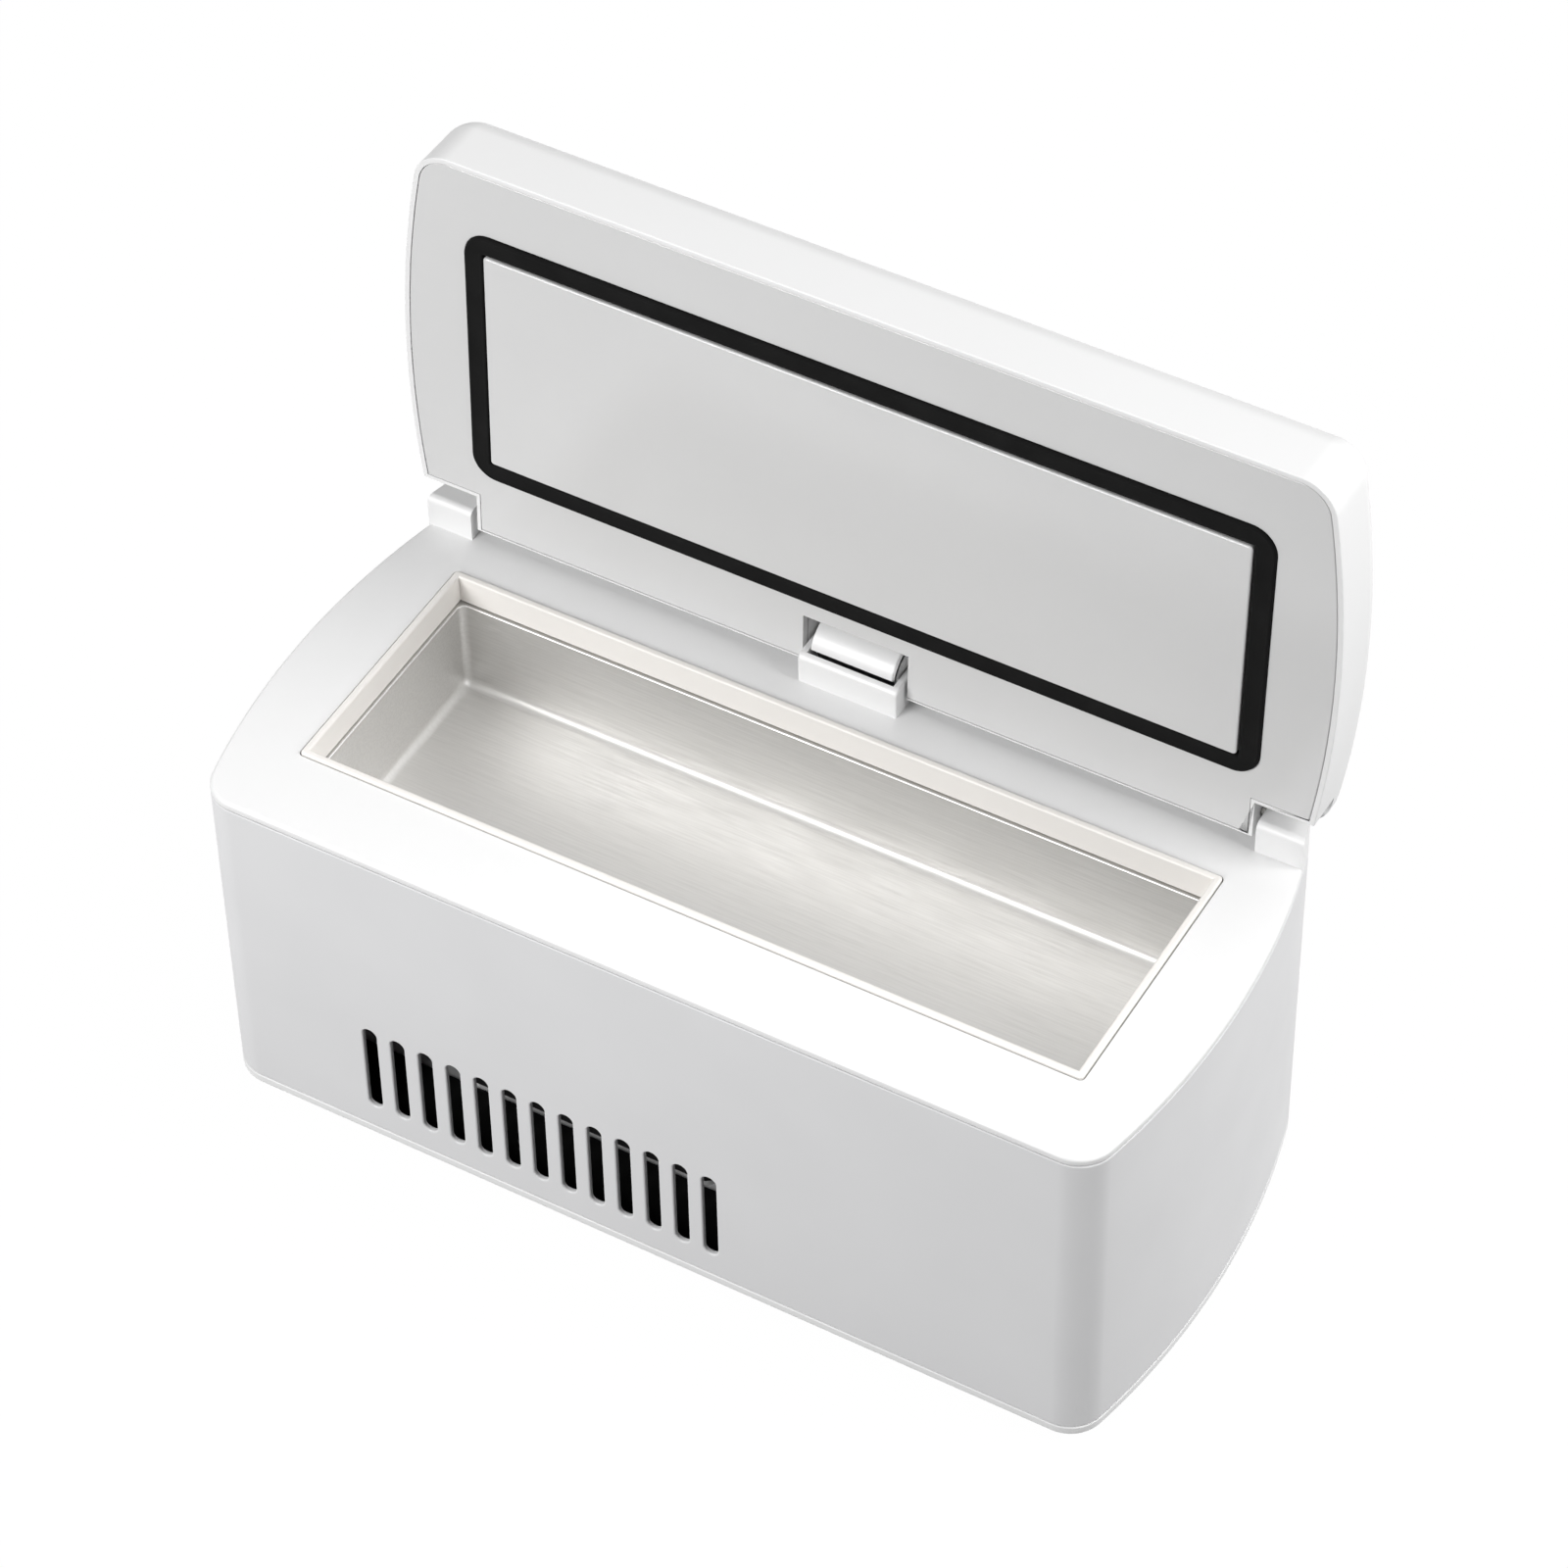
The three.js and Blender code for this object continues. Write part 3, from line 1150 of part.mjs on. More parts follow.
function lcdPanel() {
  const top = lidCeiling - CLEARANCE;
  const margin = WINDOW_LEDGE - LCD_OVERLAP;
  const outline = rectangle(WINDOW_HALF_LENGTH - margin, WINDOW_HALF_DEPTH - margin, DISPLAY_SHIFT);
  return slab(outline, [top - LCD_THICKNESS, top]);
}

function displayBossSpots() {
  const x = DISPLAY_BOARD_HALF_LENGTH - DISPLAY_BOSS_INSET;
  const y = DISPLAY_BOARD_HALF_DEPTH - DISPLAY_BOSS_INSET;
  return [[-x, -y], [x, -y], [-x, y], [x, y]].map(([across, deep]) => [across, DISPLAY_SHIFT + deep]);
}

function displayBoard() {
  const half = [DISPLAY_BOARD_HALF_LENGTH, DISPLAY_BOARD_HALF_DEPTH];
  return slab(rectangle(...half, DISPLAY_SHIFT), [displayBoardLow, displayBoardTop]);
}

function pushButton(x) {
  const flangeTop = lidCeiling - CLEARANCE;
  return join(
    rodZ(BUTTON_RADIUS, x, DISPLAY_SHIFT, [buttonFlangeLow, lidTop + BUTTON_PROUD]),
    rodZ(BUTTON_RADIUS + BUTTON_FLANGE_WIDTH, x, DISPLAY_SHIFT, [buttonFlangeLow, flangeTop]),
  );
}

function tactSwitch(x) {
  const low = displayBoardTop + CLEARANCE;
  const bodyTop = switchTop - SWITCH_PLUNGER_HEIGHT;
  return join(
    block(centred(x, SWITCH_SIZE), centred(DISPLAY_SHIFT, SWITCH_SIZE), [low, bodyTop]),
    rodZ(SWITCH_PLUNGER_RADIUS, x, DISPLAY_SHIFT, [low, switchTop], SMALL_SIDES),
  );
}

function caseBody() {
  const group = new THREE.Group();
  const corners = ['front_left', 'front_right', 'rear_left', 'rear_right'];
  group.add(
    piece('side_wall', sideWall(), materials.silverAbs),
    piece('deck_cover', deckCover(), materials.whiteAbs),
    piece('base_cover', baseCover(), materials.whiteAbs),
    piece('rim_collar', rimCollar(), materials.linerAbs),
    piece('cold_tank', coldTank(), materials.aluminium),
    piece('foam_jacket', foamJacket(), materials.foam),
    piece('temperature_sensor', temperatureSensor(), materials.blackAbs),
    piece('cold_spacer', coldSpacer(), materials.aluminium),
    piece('thermoelectric_module', thermoelectricModule(), materials.ceramic),
    piece('heat_sink', heatSink(), materials.blackAnodised),
    piece('fan_frame', fanFrame(), materials.blackAbs),
    piece('fan_rotor', fanRotor(), materials.blackAbs),
    piece('battery_cradle', batteryCradle(), materials.blackAbs),
    piece('control_board', controlBoard(), materials.circuit),
    piece('dc_jack', dcJack(), materials.blackAbs),
    piece('ribbon_cable', ribbonCable(), materials.blackAbs),
    piece('deck_magnet_left', deckMagnet(-MAGNET_OFFSET), materials.steel),
    piece('deck_magnet_right', deckMagnet(MAGNET_OFFSET), materials.steel),
    piece('hinge_pin_left', hingePin(-1), materials.steel),
    piece('hinge_pin_right', hingePin(1), materials.steel),
  );
  corners.forEach((corner, number) => {
    group.add(
      piece(`foot_${corner}`, foot(...footSpots()[number]), materials.rubber),
      piece(`base_screw_${corner}`, baseScrew(...columnSpots[number]), materials.steel),
    );
  });
  ['left', 'right'].forEach((side, number) => {
    group.add(piece(`clamp_screw_${side}`, clampScrew(clampSpots()[number]), materials.steel));
  });
  for (let number = 0; number < CELL_COUNT; number += 1) {
    group.add(piece(`battery_cell_${number + 1}`, batteryCell(number), materials.cellWrap));
  }
  return group;
}

// The lid is drawn shut, then turned back about the hinge to its open stop.
function lid() {
  const shut = new THREE.Group();
  shut.position.set(0, -hingeY, -hingeZ);
  shut.add(
    piece('lid_shell', lidShell(), materials.whiteAbs),
    piece('lid_panel', lidPanel(), materials.panelGloss),
    piece('lid_gasket', lidGasket(), materials.rubber),
    piece('lid_plug', lidPlug(), materials.panelGloss),
    piece('lid_foam', lidFoam(), materials.foam),
    piece('cable_cover', cableCover(), materials.whiteAbs),
    piece('cable_wrap', cableWrap(), materials.blackAbs),
    piece('lid_magnet_left', lidMagnet(-MAGNET_OFFSET), materials.steel),
    piece('lid_magnet_right', lidMagnet(MAGNET_OFFSET), materials.steel),
    piece('display_window', displayWindow(), materials.glass),
    piece('lcd_panel', lcdPanel(), materials.glass),
    piece('display_board', displayBoard(), materials.circuit),
    piece('power_button', pushButton(BUTTON_OFFSET), materials.silverAbs),
    piece('set_button', pushButton(-BUTTON_OFFSET), materials.silverAbs),
    piece('power_switch', tactSwitch(BUTTON_OFFSET), materials.blackAbs),
    piece('set_switch', tactSwitch(-BUTTON_OFFSET), materials.blackAbs),
  );
  const hinge = new THREE.Group();
  hinge.position.set(0, hingeY, hingeZ);
  hinge.rotation.x = -LID_OPEN;
  hinge.add(shut);
  return hinge;
}

// The finished case stands with the middle of its footprint, lid open, over the origin.
const coolingCase = new THREE.Group();
coolingCase.add(caseBody(), lid());
coolingCase.updateMatrixWorld(true);
const extent = new THREE.Box3().setFromObject(coolingCase, true);
coolingCase.position.y = -(extent.min.y + extent.max.y) / 2;

export default coolingCase;
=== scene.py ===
"""Looks of a small cooling case with a hinged lid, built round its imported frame.

Meshes are drawn in millimetres and scaled to metres when a piece is finished. X runs along the
case, Y from its front to its rear, and Z up from the table. Lid pieces are drawn with the lid
shut, then turned back about the hinge to where the frame holds them.
"""

import json
import logging
import math
from collections.abc import Iterable, Sequence
from dataclasses import dataclass, replace
from enum import Enum

import bmesh
import bpy
from mathutils import Matrix, Vector

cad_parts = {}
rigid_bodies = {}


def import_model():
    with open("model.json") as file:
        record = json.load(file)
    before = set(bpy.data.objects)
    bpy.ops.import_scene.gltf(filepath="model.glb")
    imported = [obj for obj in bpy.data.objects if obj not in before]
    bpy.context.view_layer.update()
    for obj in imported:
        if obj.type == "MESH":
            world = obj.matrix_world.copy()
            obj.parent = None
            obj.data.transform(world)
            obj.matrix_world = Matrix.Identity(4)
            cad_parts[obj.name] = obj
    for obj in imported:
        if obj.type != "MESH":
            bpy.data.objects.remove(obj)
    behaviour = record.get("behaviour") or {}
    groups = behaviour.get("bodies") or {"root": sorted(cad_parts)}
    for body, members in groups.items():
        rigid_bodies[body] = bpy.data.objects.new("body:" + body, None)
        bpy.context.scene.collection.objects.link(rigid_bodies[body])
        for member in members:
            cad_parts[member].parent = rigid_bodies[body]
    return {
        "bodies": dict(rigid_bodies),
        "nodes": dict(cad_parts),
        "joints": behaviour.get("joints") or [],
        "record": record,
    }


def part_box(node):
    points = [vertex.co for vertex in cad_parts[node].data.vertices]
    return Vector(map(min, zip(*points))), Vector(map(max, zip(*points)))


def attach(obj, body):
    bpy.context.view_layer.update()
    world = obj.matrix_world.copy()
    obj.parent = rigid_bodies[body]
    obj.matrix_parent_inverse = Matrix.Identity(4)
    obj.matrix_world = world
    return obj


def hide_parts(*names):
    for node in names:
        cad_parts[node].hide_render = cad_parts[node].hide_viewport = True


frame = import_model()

Point = tuple[float, float]
Span = tuple[float, float]
Ring = tuple[list[Point], float]

MM = 0.001
QUARTER = math.pi / 2
HALF_TURN = math.pi
OVERRUN = 1.0
CLEARANCE = 0.3
LEAST_RADIUS = 0.02
CORNER_STEPS = 12
BOW_STEPS = 40
EDGE_STEPS = 8
ROUND_SIDES = 64
SMALL_SIDES = 32
SEAM_ROUND = 0.3
# Least share of a face's normal that points straight down where the face is divided
FLAT_FACE = 0.99
SHARP_EDGE = math.radians(38)

log = logging.getLogger("cooling_case")


class Axis(Enum):
    """Direction in which an outline is drawn out."""

    X = "x"
    Y = "y"
    Z = "z"


class Cut(Enum):
    """What a tool does to a piece."""

    AWAY = "DIFFERENCE"
    JOIN = "UNION"
    KEEP = "INTERSECT"


class Slot(Enum):
    """Material slots of the record."""

    WHITE = "white_abs"
    SILVER_AND_SHADE = "silver_abs"
    PANEL = "panel_abs"
    LINER = "liner_abs"
    TANK = "tank_aluminium"
    ANODISED = "black_anodised"
    FOAM = "insulating_foam"
    BLACK = "black_abs"
    CERAMIC = "ceramic_plate"
    STEEL = "screw_steel"
    WRAP = "cell_wrap"
    BOARD = "circuit_board"
    RUBBER = "black_rubber"
    WINDOW = "window_glass"


@dataclass(frozen=True)
class Box:
    """Lowest and highest corner of a piece, in millimetres."""

    low: Vector
    high: Vector

    @property
    def centre(self) -> Vector:
        """Middle of the box."""
        return (self.low + self.high) / 2

    @property
    def half(self) -> Vector:
        """Half size along each axis."""
        return (self.high - self.low) / 2


def box_of(node: str) -> Box:
    """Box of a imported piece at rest.

    Args:
        node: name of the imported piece.

    Returns:
        Its corners in millimetres.
    """
    low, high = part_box(node)
    return Box(low / MM, high / MM)


@dataclass(frozen=True)
class Hinge:
    """Axis of the lid, and how far the lid stands open at rest."""

    y: float
    z: float
    opening: float

    @classmethod
    def of_frame(cls) -> "Hinge":
        """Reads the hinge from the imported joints."""
        joint = next(item for item in frame["joints"] if item["name"] == "lid_hinge")
        _, y, z = joint["pos_m"]
        return cls(y / MM, z / MM, math.radians(joint["range_deg"][1]))

    def turn(self, angle: float) -> Matrix:
        """Turn about the axis by an angle, in millimetres."""
        place = Matrix.Translation((0, self.y, self.z))
        return place @ Matrix.Rotation(angle, 4, "X") @ place.inverted()

    def shut_box(self, node: str) -> Box:
        """Box of a lid piece, measured with the lid shut.

        Args:
            node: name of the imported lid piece.

        Returns:
            Its corners in millimetres.
        """
        turn = self.turn(self.opening)
        points = [turn @ (vertex.co / MM) for vertex in frame["nodes"][node].data.vertices]
        low = Vector([min(point[axis] for point in points) for axis in range(3)])
        high = Vector([max(point[axis] for point in points) for axis in range(3)])
        return Box(low, high)


def arc(x: float, y: float, radius: float, start: float, end: float, steps: int) -> list[Point]:
    """Points along a circular arc, both ends included."""
    angles = [start + (end - start) * step / steps for step in range(steps + 1)]
    return [(x + radius * math.cos(angle), y + radius * math.sin(angle)) for angle in angles]


def rounded_rectangle(
    half_x: float, half_y: float, corner: float, x: float = 0.0, y: float = 0.0,
    steps: int = CORNER_STEPS,
) -> list[Point]:
    """Outline of a rectangle with round corners.

    Args:
        half_x: half size along the first axis.
        half_y: half size along the second axis.
        corner: radius of the corners.
        x: middle along the first axis.
        y: middle along the second axis.
        steps: segments in each corner.

    Returns:
        Points in counter-clockwise order.
    """
    radius = max(corner, LEAST_RADIUS)
    points: list[Point] = []
    for number, (side_x, side_y) in enumerate(((1, -1), (1, 1), (-1, 1), (-1, -1))):
        start = (number - 1) * QUARTER
        centre = (x + side_x * (half_x - radius), y + side_y * (half_y - radius))
        points += arc(*centre, radius, start, start + QUARTER, steps)
    return points


def quarter_round(radius: float, steps: int = EDGE_STEPS) -> list[Point]:
    """Steps of a round edge as (inset, drop): from the side wall up to the top face."""
    angles = [QUARTER * step / steps for step in range(steps + 1)]
    return [(radius * (1 - math.cos(angle)), radius * (1 - math.sin(angle))) for angle in angles]


@dataclass(frozen=True)
class Plan:
    """Plan with straight front and rear, bowed ends and round corners, in millimetres."""

    half_length: float
    centre_y: float
    front: float
    rear: float
    end_radius: float
    bow_shift: float
    front_corner: float
    rear_corner: float

    def outline(self, inset: float = 0.0) -> list[Point]:
        """Outline drawn in by an inset.

        Args:
            inset: distance from the plan's own outline.

        Returns:
            Points in counter-clockwise order.
        """
        bow_x = self.half_length - self.end_radius
        right: list[Point] = []
        front = self._corner(self.front_corner - self.front, self.front_corner)
        rear = self._corner(self.rear - self.rear_corner, self.rear_corner)
        right += arc(front[0], front[1], self.front_corner - inset, -QUARTER, front[2], CORNER_STEPS)
        right += arc(bow_x, self.bow_shift, self.end_radius - inset, front[2], rear[2], BOW_STEPS)[1:]
        right += arc(rear[0], rear[1], self.rear_corner - inset, rear[2], QUARTER, CORNER_STEPS)[1:]
        left = [(-x, y) for x, y in reversed(right)]
        return [(x, y + self.centre_y) for x, y in right + left]

    def _corner(self, y: float, radius: float) -> tuple[float, float, float]:
        """Centre of a corner arc, and the angle at which it meets the bow."""
        rise = y - self.bow_shift
        reach = math.sqrt((self.end_radius - radius) ** 2 - rise**2)
        return self.half_length - self.end_radius + reach, y, math.atan2(rise, reach)


def spread(axis: Axis, first: float, second: float, along: float) -> Vector:
    """Point of an outline that is drawn out along an axis."""
    if axis is Axis.X:
        return Vector((along, first, second))
    if axis is Axis.Y:
        return Vector((first, along, second))
    return Vector((first, second, along))


def mesh_piece(name: str, vertices: Sequence[Vector], faces: Sequence[Sequence[int]]) -> bpy.types.Object:
    """Closed mesh whose faces point outwards.

    Args:
        name: name of the new object.
        vertices: points in millimetres.
        faces: corner numbers of each face.

    Returns:
        The object, linked to the scene.
    """
    mesh = bpy.data.meshes.new(name)
    mesh.from_pydata([tuple(point) for point in vertices], [], [tuple(face) for face in faces])
    shape = bmesh.new()
    shape.from_mesh(mesh)
    bmesh.ops.recalc_face_normals(shape, faces=shape.faces)
    shape.to_mesh(mesh)
    shape.free()
    piece = bpy.data.objects.new(name, mesh)
    bpy.context.scene.collection.objects.link(piece)
    return piece


def loft(name: str, rings: Sequence[Ring], axis: Axis = Axis.Z, closed: bool = False) -> bpy.types.Object:
    """Skin through outlines that all have the same number of points.

    Args:
        name: name of the new object.
        rings: outlines and their places along the axis.
        axis: direction in which the outlines are stacked.
        closed: joins the last ring to the first instead of capping both.

    Returns:
        The new object.
    """
    count = len(rings[0][0])
    vertices = [spread(axis, *point, along) for outline, along in rings for point in outline]
    faces: list[list[int]] = []
    last = len(rings) if closed else len(rings) - 1
    for ring in range(last):
        low, high = ring * count, (ring + 1) % len(rings) * count
        for side in range(count):
            turn = (side + 1) % count
            faces.append([low + side, low + turn, high + turn, high + side])
    if not closed:
        faces.append(list(range(count)))
        faces.append(list(range((len(rings) - 1) * count, len(rings) * count)))
    return mesh_piece(name, vertices, faces)


def prism(name: str, outline: list[Point], span: Span, axis: Axis = Axis.Z) -> bpy.types.Object:
    """Outline drawn straight out along an axis."""
    return loft(name, [(outline, span[0]), (outline, span[1])], axis)


def block(name: str, x: Span, y: Span, z: Span) -> bpy.types.Object:
    """Box between two corners."""
    return prism(name, [(x[0], y[0]), (x[1], y[0]), (x[1], y[1]), (x[0], y[1])], z)


def rod(
    name: str, radius: float, middle: Point, span: Span, axis: Axis = Axis.Z, edge: float = 0.0,
    sides: int = ROUND_SIDES,
) -> bpy.types.Object:
    """Round bar, with its ends rounded by an edge radius.

    Args:
        name: name of the new object.
        radius: radius of the bar.
        middle: centre in the two axes that the bar doesn't run along.
        span: where it starts and ends.
        axis: direction that it runs in.
        edge: radius of its end edges, or 0 for sharp ones.
        sides: number of sides.

    Returns:
        The new object.
    """
    steps = quarter_round(edge) if edge else [(0.0, 0.0)]
    low = [(radius - inset, span[0] + drop) for inset, drop in reversed(steps)]
    high = [(radius - inset, span[1] - drop) for inset, drop in steps]
    rings = [(arc(*middle, size, 0, 2 * HALF_TURN, sides)[:-1], along) for size, along in low + high]
    return loft(name, rings, axis)


def freeze(piece: bpy.types.Object) -> bpy.types.Object:
    """Turns what the modifiers show into the piece's own mesh."""
    graph = bpy.context.evaluated_depsgraph_get()
    mesh = bpy.data.meshes.new_from_object(piece.evaluated_get(graph), depsgraph=graph)
    piece.modifiers.clear()
    spare = piece.data
    piece.data = mesh
    bpy.data.meshes.remove(spare)
    return piece


def remove(pieces: Iterable[bpy.types.Object]) -> None:
    """Deletes helper objects with their meshes."""
    for piece in pieces:
        mesh = piece.data
        bpy.data.objects.remove(piece)
        bpy.data.meshes.remove(mesh)


def shape(piece: bpy.types.Object, action: Cut, *tools: bpy.types.Object) -> bpy.types.Object:
    """Cuts a piece with tools or joins them to it, and deletes the tools.

    Args:
        piece: what is changed.
        action: what each tool does.
        tools: closed meshes.

    Returns:
        The piece.
    """
    for tool in tools:
        modifier = piece.modifiers.new(tool.name, "BOOLEAN")
        modifier.operation = action.value
        modifier.solver = "EXACT"
        modifier.object = tool
        freeze(piece)
    remove(tools)
    return piece


def merge(pieces: Sequence[bpy.types.Object]) -> bpy.types.Object:
    """Puts several meshes into the first one, without joining their walls."""
    whole = bmesh.new()
    for piece in pieces:
        whole.from_mesh(piece.data)
    whole.to_mesh(pieces[0].data)
    whole.free()
    remove(pieces[1:])
    return pieces[0]


def tidy(piece: bpy.types.Object) -> bpy.types.Object:
    """Merges doubled points and flat splits that cutting leaves behind."""
    doubled = 0.0005
    flat = math.radians(0.05)
    mesh = bmesh.new()
    mesh.from_mesh(piece.data)
    bmesh.ops.remove_doubles(mesh, verts=mesh.verts, dist=doubled)
    bmesh.ops.dissolve_limit(mesh, angle_limit=flat, verts=mesh.verts, edges=mesh.edges)
    mesh.to_mesh(piece.data)
    mesh.free()
    return piece


def soften(piece: bpy.types.Object, width: float, segments: int = 3) -> bpy.types.Object:
    """Rounds the sharp edges of a piece, as a mould does.

    Args:
        piece: what is changed.
        width: size of the round.
        segments: faces across the round.

    Returns:
        The piece.
    """
    bevel = tidy(piece).modifiers.new("edges", "BEVEL")
    bevel.width = width
    bevel.segments = segments
    bevel.limit_method = "ANGLE"
    bevel.angle_limit = SHARP_EDGE
    bevel.miter_outer = "MITER_ARC"
    return freeze(piece)


def divide(piece: bpy.types.Object, *places: float) -> bpy.types.Object:
    """Divides the faces that look down across a piece's length, so that none runs round a hole."""
    mesh = bmesh.new()
    mesh.from_mesh(piece.data)
    for place in places:
        faces = [face for face in mesh.faces if face.normal.z < -FLAT_FACE]
        edges = {edge for face in faces for edge in face.edges}
        parts = [*faces, *edges, *{vertex for edge in edges for vertex in edge.verts}]
        bmesh.ops.bisect_plane(mesh, geom=parts, plane_co=(place, 0, 0), plane_no=(1, 0, 0))
    mesh.to_mesh(piece.data)
    mesh.free()
    return piece


def smooth(piece: bpy.types.Object) -> bpy.types.Object:
    """Shades round stretches smooth and keeps flat faces flat up to their edges."""
    mesh = piece.data
    mesh.polygons.foreach_set("use_smooth", [True] * len(mesh.polygons))
    mesh.set_sharp_from_angle(angle=SHARP_EDGE)
    weighted = piece.modifiers.new("normals", "WEIGHTED_NORMAL")
    weighted.keep_sharp = True
    return freeze(piece)


def add_node(
    tree: bpy.types.NodeTree, kind: str, inputs: dict | None = None, **settings: object,
) -> bpy.types.Node:
    """Adds a node with its settings, values and links.

    Args:
        tree: shader or geometry tree.
        kind: type of the node.
        inputs: value or source socket of each input, by name or number.
        settings: properties of the node.

    Returns:
        The node.
    """
    node = tree.nodes.new(kind)
    for name, value in settings.items():
        setattr(node, name, value)
    for socket, value in (inputs or {}).items():
        if isinstance(value, bpy.types.NodeSocket):
            tree.links.new(value, node.inputs[socket])
        else:
            node.inputs[socket].default_value = value
    return node


def linear(code: str) -> tuple[float, float, float, float]:
    """Linear colour of an sRGB hex code."""
    parts = [int(code[start:start + 2], 16) / 255 for start in (1, 3, 5)]
    values = [part / 12.92 if part <= 0.04045 else ((part + 0.055) / 1.055) ** 2.4 for part in parts]
    return values[0], values[1], values[2], 1.0


def per_size(size: float) -> float:
    """Texture scale at which one cell of the pattern is as wide as a size in millimetres."""
    return 1 / (size * MM)


@dataclass
class Surface:
    """A material under construction, with its tree and main shader."""

    material: bpy.types.Material
    tree: bpy.types.NodeTree
    shader: bpy.types.Node
    place: bpy.types.NodeSocket

    @classmethod
    def begin(cls, name: str, stretch: Sequence[float] = (1, 1, 1), **values: object) -> "Surface":
        """Starts a material that reads object coordinates.

        Args:
            name: name of the material.
            stretch: scale of the pattern along each axis.
            values: shader inputs that are the same all over, by name.

        Returns:
            The surface to dress.
        """
        material = bpy.data.materials.new(name)
        material.use_nodes = True
        tree = material.node_tree
        shader = tree.nodes["Principled BSDF"]
        for socket, value in values.items():
            shader.inputs[socket.replace("_", " ")].default_value = value
        source = add_node(tree, "ShaderNodeTexCoord").outputs["Object"]
        mapping = add_node(tree, "ShaderNodeMapping", {"Vector": source, "Scale": tuple(stretch)})
        return cls(material, tree, shader, mapping.outputs["Vector"])

    def noise(self, size: float, detail: float = 2.0) -> bpy.types.NodeSocket:
        """Cloudy pattern with spots of a size in millimetres."""
        inputs = {"Vector": self.place, "Scale": per_size(size), "Detail": detail}
        return add_node(self.tree, "ShaderNodeTexNoise", inputs).outputs["Fac"]

    def range(self, source: bpy.types.NodeSocket, low: float, high: float) -> bpy.types.NodeSocket:
        """Spreads the middle of a noise over a range of values."""
        inputs = {"Value": source, "From Min": 0.3, "From Max": 0.7, "To Min": low, "To Max": high}
        return add_node(self.tree, "ShaderNodeMapRange", inputs).outputs["Result"]

    def mix(self, factor: bpy.types.NodeSocket, first: object, second: object) -> bpy.types.NodeSocket:
        """Blends two colours by a factor."""
        inputs = {0: factor, 6: first, 7: second}
        return add_node(self.tree, "ShaderNodeMix", inputs, data_type="RGBA").outputs[2]

    def paint(self, factor: bpy.types.NodeSocket, first: str, second: str) -> None:
        """Colours the surface between two sRGB codes."""
        self.wire("Base Color", self.mix(factor, linear(first), linear(second)))

    def wire(self, socket: str, source: bpy.types.NodeSocket) -> None:
        """Links a source to an input of the shader."""
        self.tree.links.new(source, self.shader.inputs[socket])

    def bump(self, height: bpy.types.NodeSocket, relief: float, strength: float = 1.0) -> None:
        """Raises the surface by a height pattern of a relief in millimetres."""
        inputs = {"Height": height, "Distance": relief * MM, "Strength": strength}
        self.wire("Normal", add_node(self.tree, "ShaderNodeBump", inputs).outputs["Normal"])


@dataclass(frozen=True)
class MouldedPlastic:
    """Injection moulded plastic: one even colour, with a fine skin left by the mould."""

    name: str
    colour: str
    shade: str
    roughness: float
    grain: float
    relief: float
    cloud: float = 24.0
    ior: float = 1.54

    def make(self) -> bpy.types.Material:
        """Builds the material."""
        surface = Surface.begin(self.name, IOR=self.ior)
        cloud = surface.noise(self.cloud)
        grain = surface.noise(self.grain, detail=3.0)
        surface.paint(cloud, self.colour, self.shade)
        spread_share = 0.12
        rough = (self.roughness * (1 - spread_share), self.roughness * (1 + spread_share))
        surface.wire("Roughness", surface.range(cloud, *rough))
        surface.bump(grain, self.relief)
        return surface.material


@dataclass(frozen=True)
class BrushedMetal:
    """Rolled or brushed metal: fine streaks along one axis, which stretch its highlights."""

    name: str
    colour: str
    shade: str
    roughness: float
    streak: float
    relief: float
    stretch: tuple[float, float, float] = (0.04, 1.0, 1.0)

    def make(self) -> bpy.types.Material:
        """Builds the material."""
        surface = Surface.begin(self.name, self.stretch, Metallic=1.0)
        streaks = surface.noise(self.streak, detail=3.0)
        surface.paint(streaks, self.colour, self.shade)
        spread_share = 0.18
        rough = (self.roughness * (1 - spread_share), self.roughness * (1 + spread_share))
        surface.wire("Roughness", surface.range(streaks, *rough))
        surface.bump(streaks, self.relief)
        return surface.material


@dataclass(frozen=True)
class CellularFoam:
    """Closed cell foam: matte, with small round cells cut open at its faces."""

    name: str
    colour: str
    shade: str
    cell: float
    relief: float

    def make(self) -> bpy.types.Material:
        """Builds the material."""
        surface = Surface.begin(self.name, Roughness=0.92, IOR=1.5)
        inputs = {"Vector": surface.place, "Scale": per_size(self.cell)}
        cells = add_node(surface.tree, "ShaderNodeTexVoronoi", inputs).outputs["Distance"]
        surface.paint(cells, self.shade, self.colour)
        surface.bump(cells, self.relief)
        return surface.material


@dataclass(frozen=True)
class SolderMask:
    """Green solder mask over glass fibre: satin lacquer in which the copper tracks stand up."""

    name: str
    colour: str
    track_colour: str
    track: float
    relief: float

    def make(self) -> bpy.types.Material:
        """Builds the material."""
        surface = Surface.begin(self.name, Roughness=0.38, IOR=1.5)
        inputs = {
            "Vector": surface.place, "Scale": per_size(self.track), "Mortar Size": 0.09,
            "Mortar Smooth": 0.2, "Brick Width": 1.7, "Row Height": 0.5, "Color1": (0, 0, 0, 1),
            "Color2": (0, 0, 0, 1), "Mortar": (1, 1, 1, 1),
        }
        tracks = add_node(surface.tree, "ShaderNodeTexBrick", inputs).outputs["Fac"]
        surface.paint(tracks, self.colour, self.track_colour)
        surface.bump(tracks, self.relief)
        return surface.material


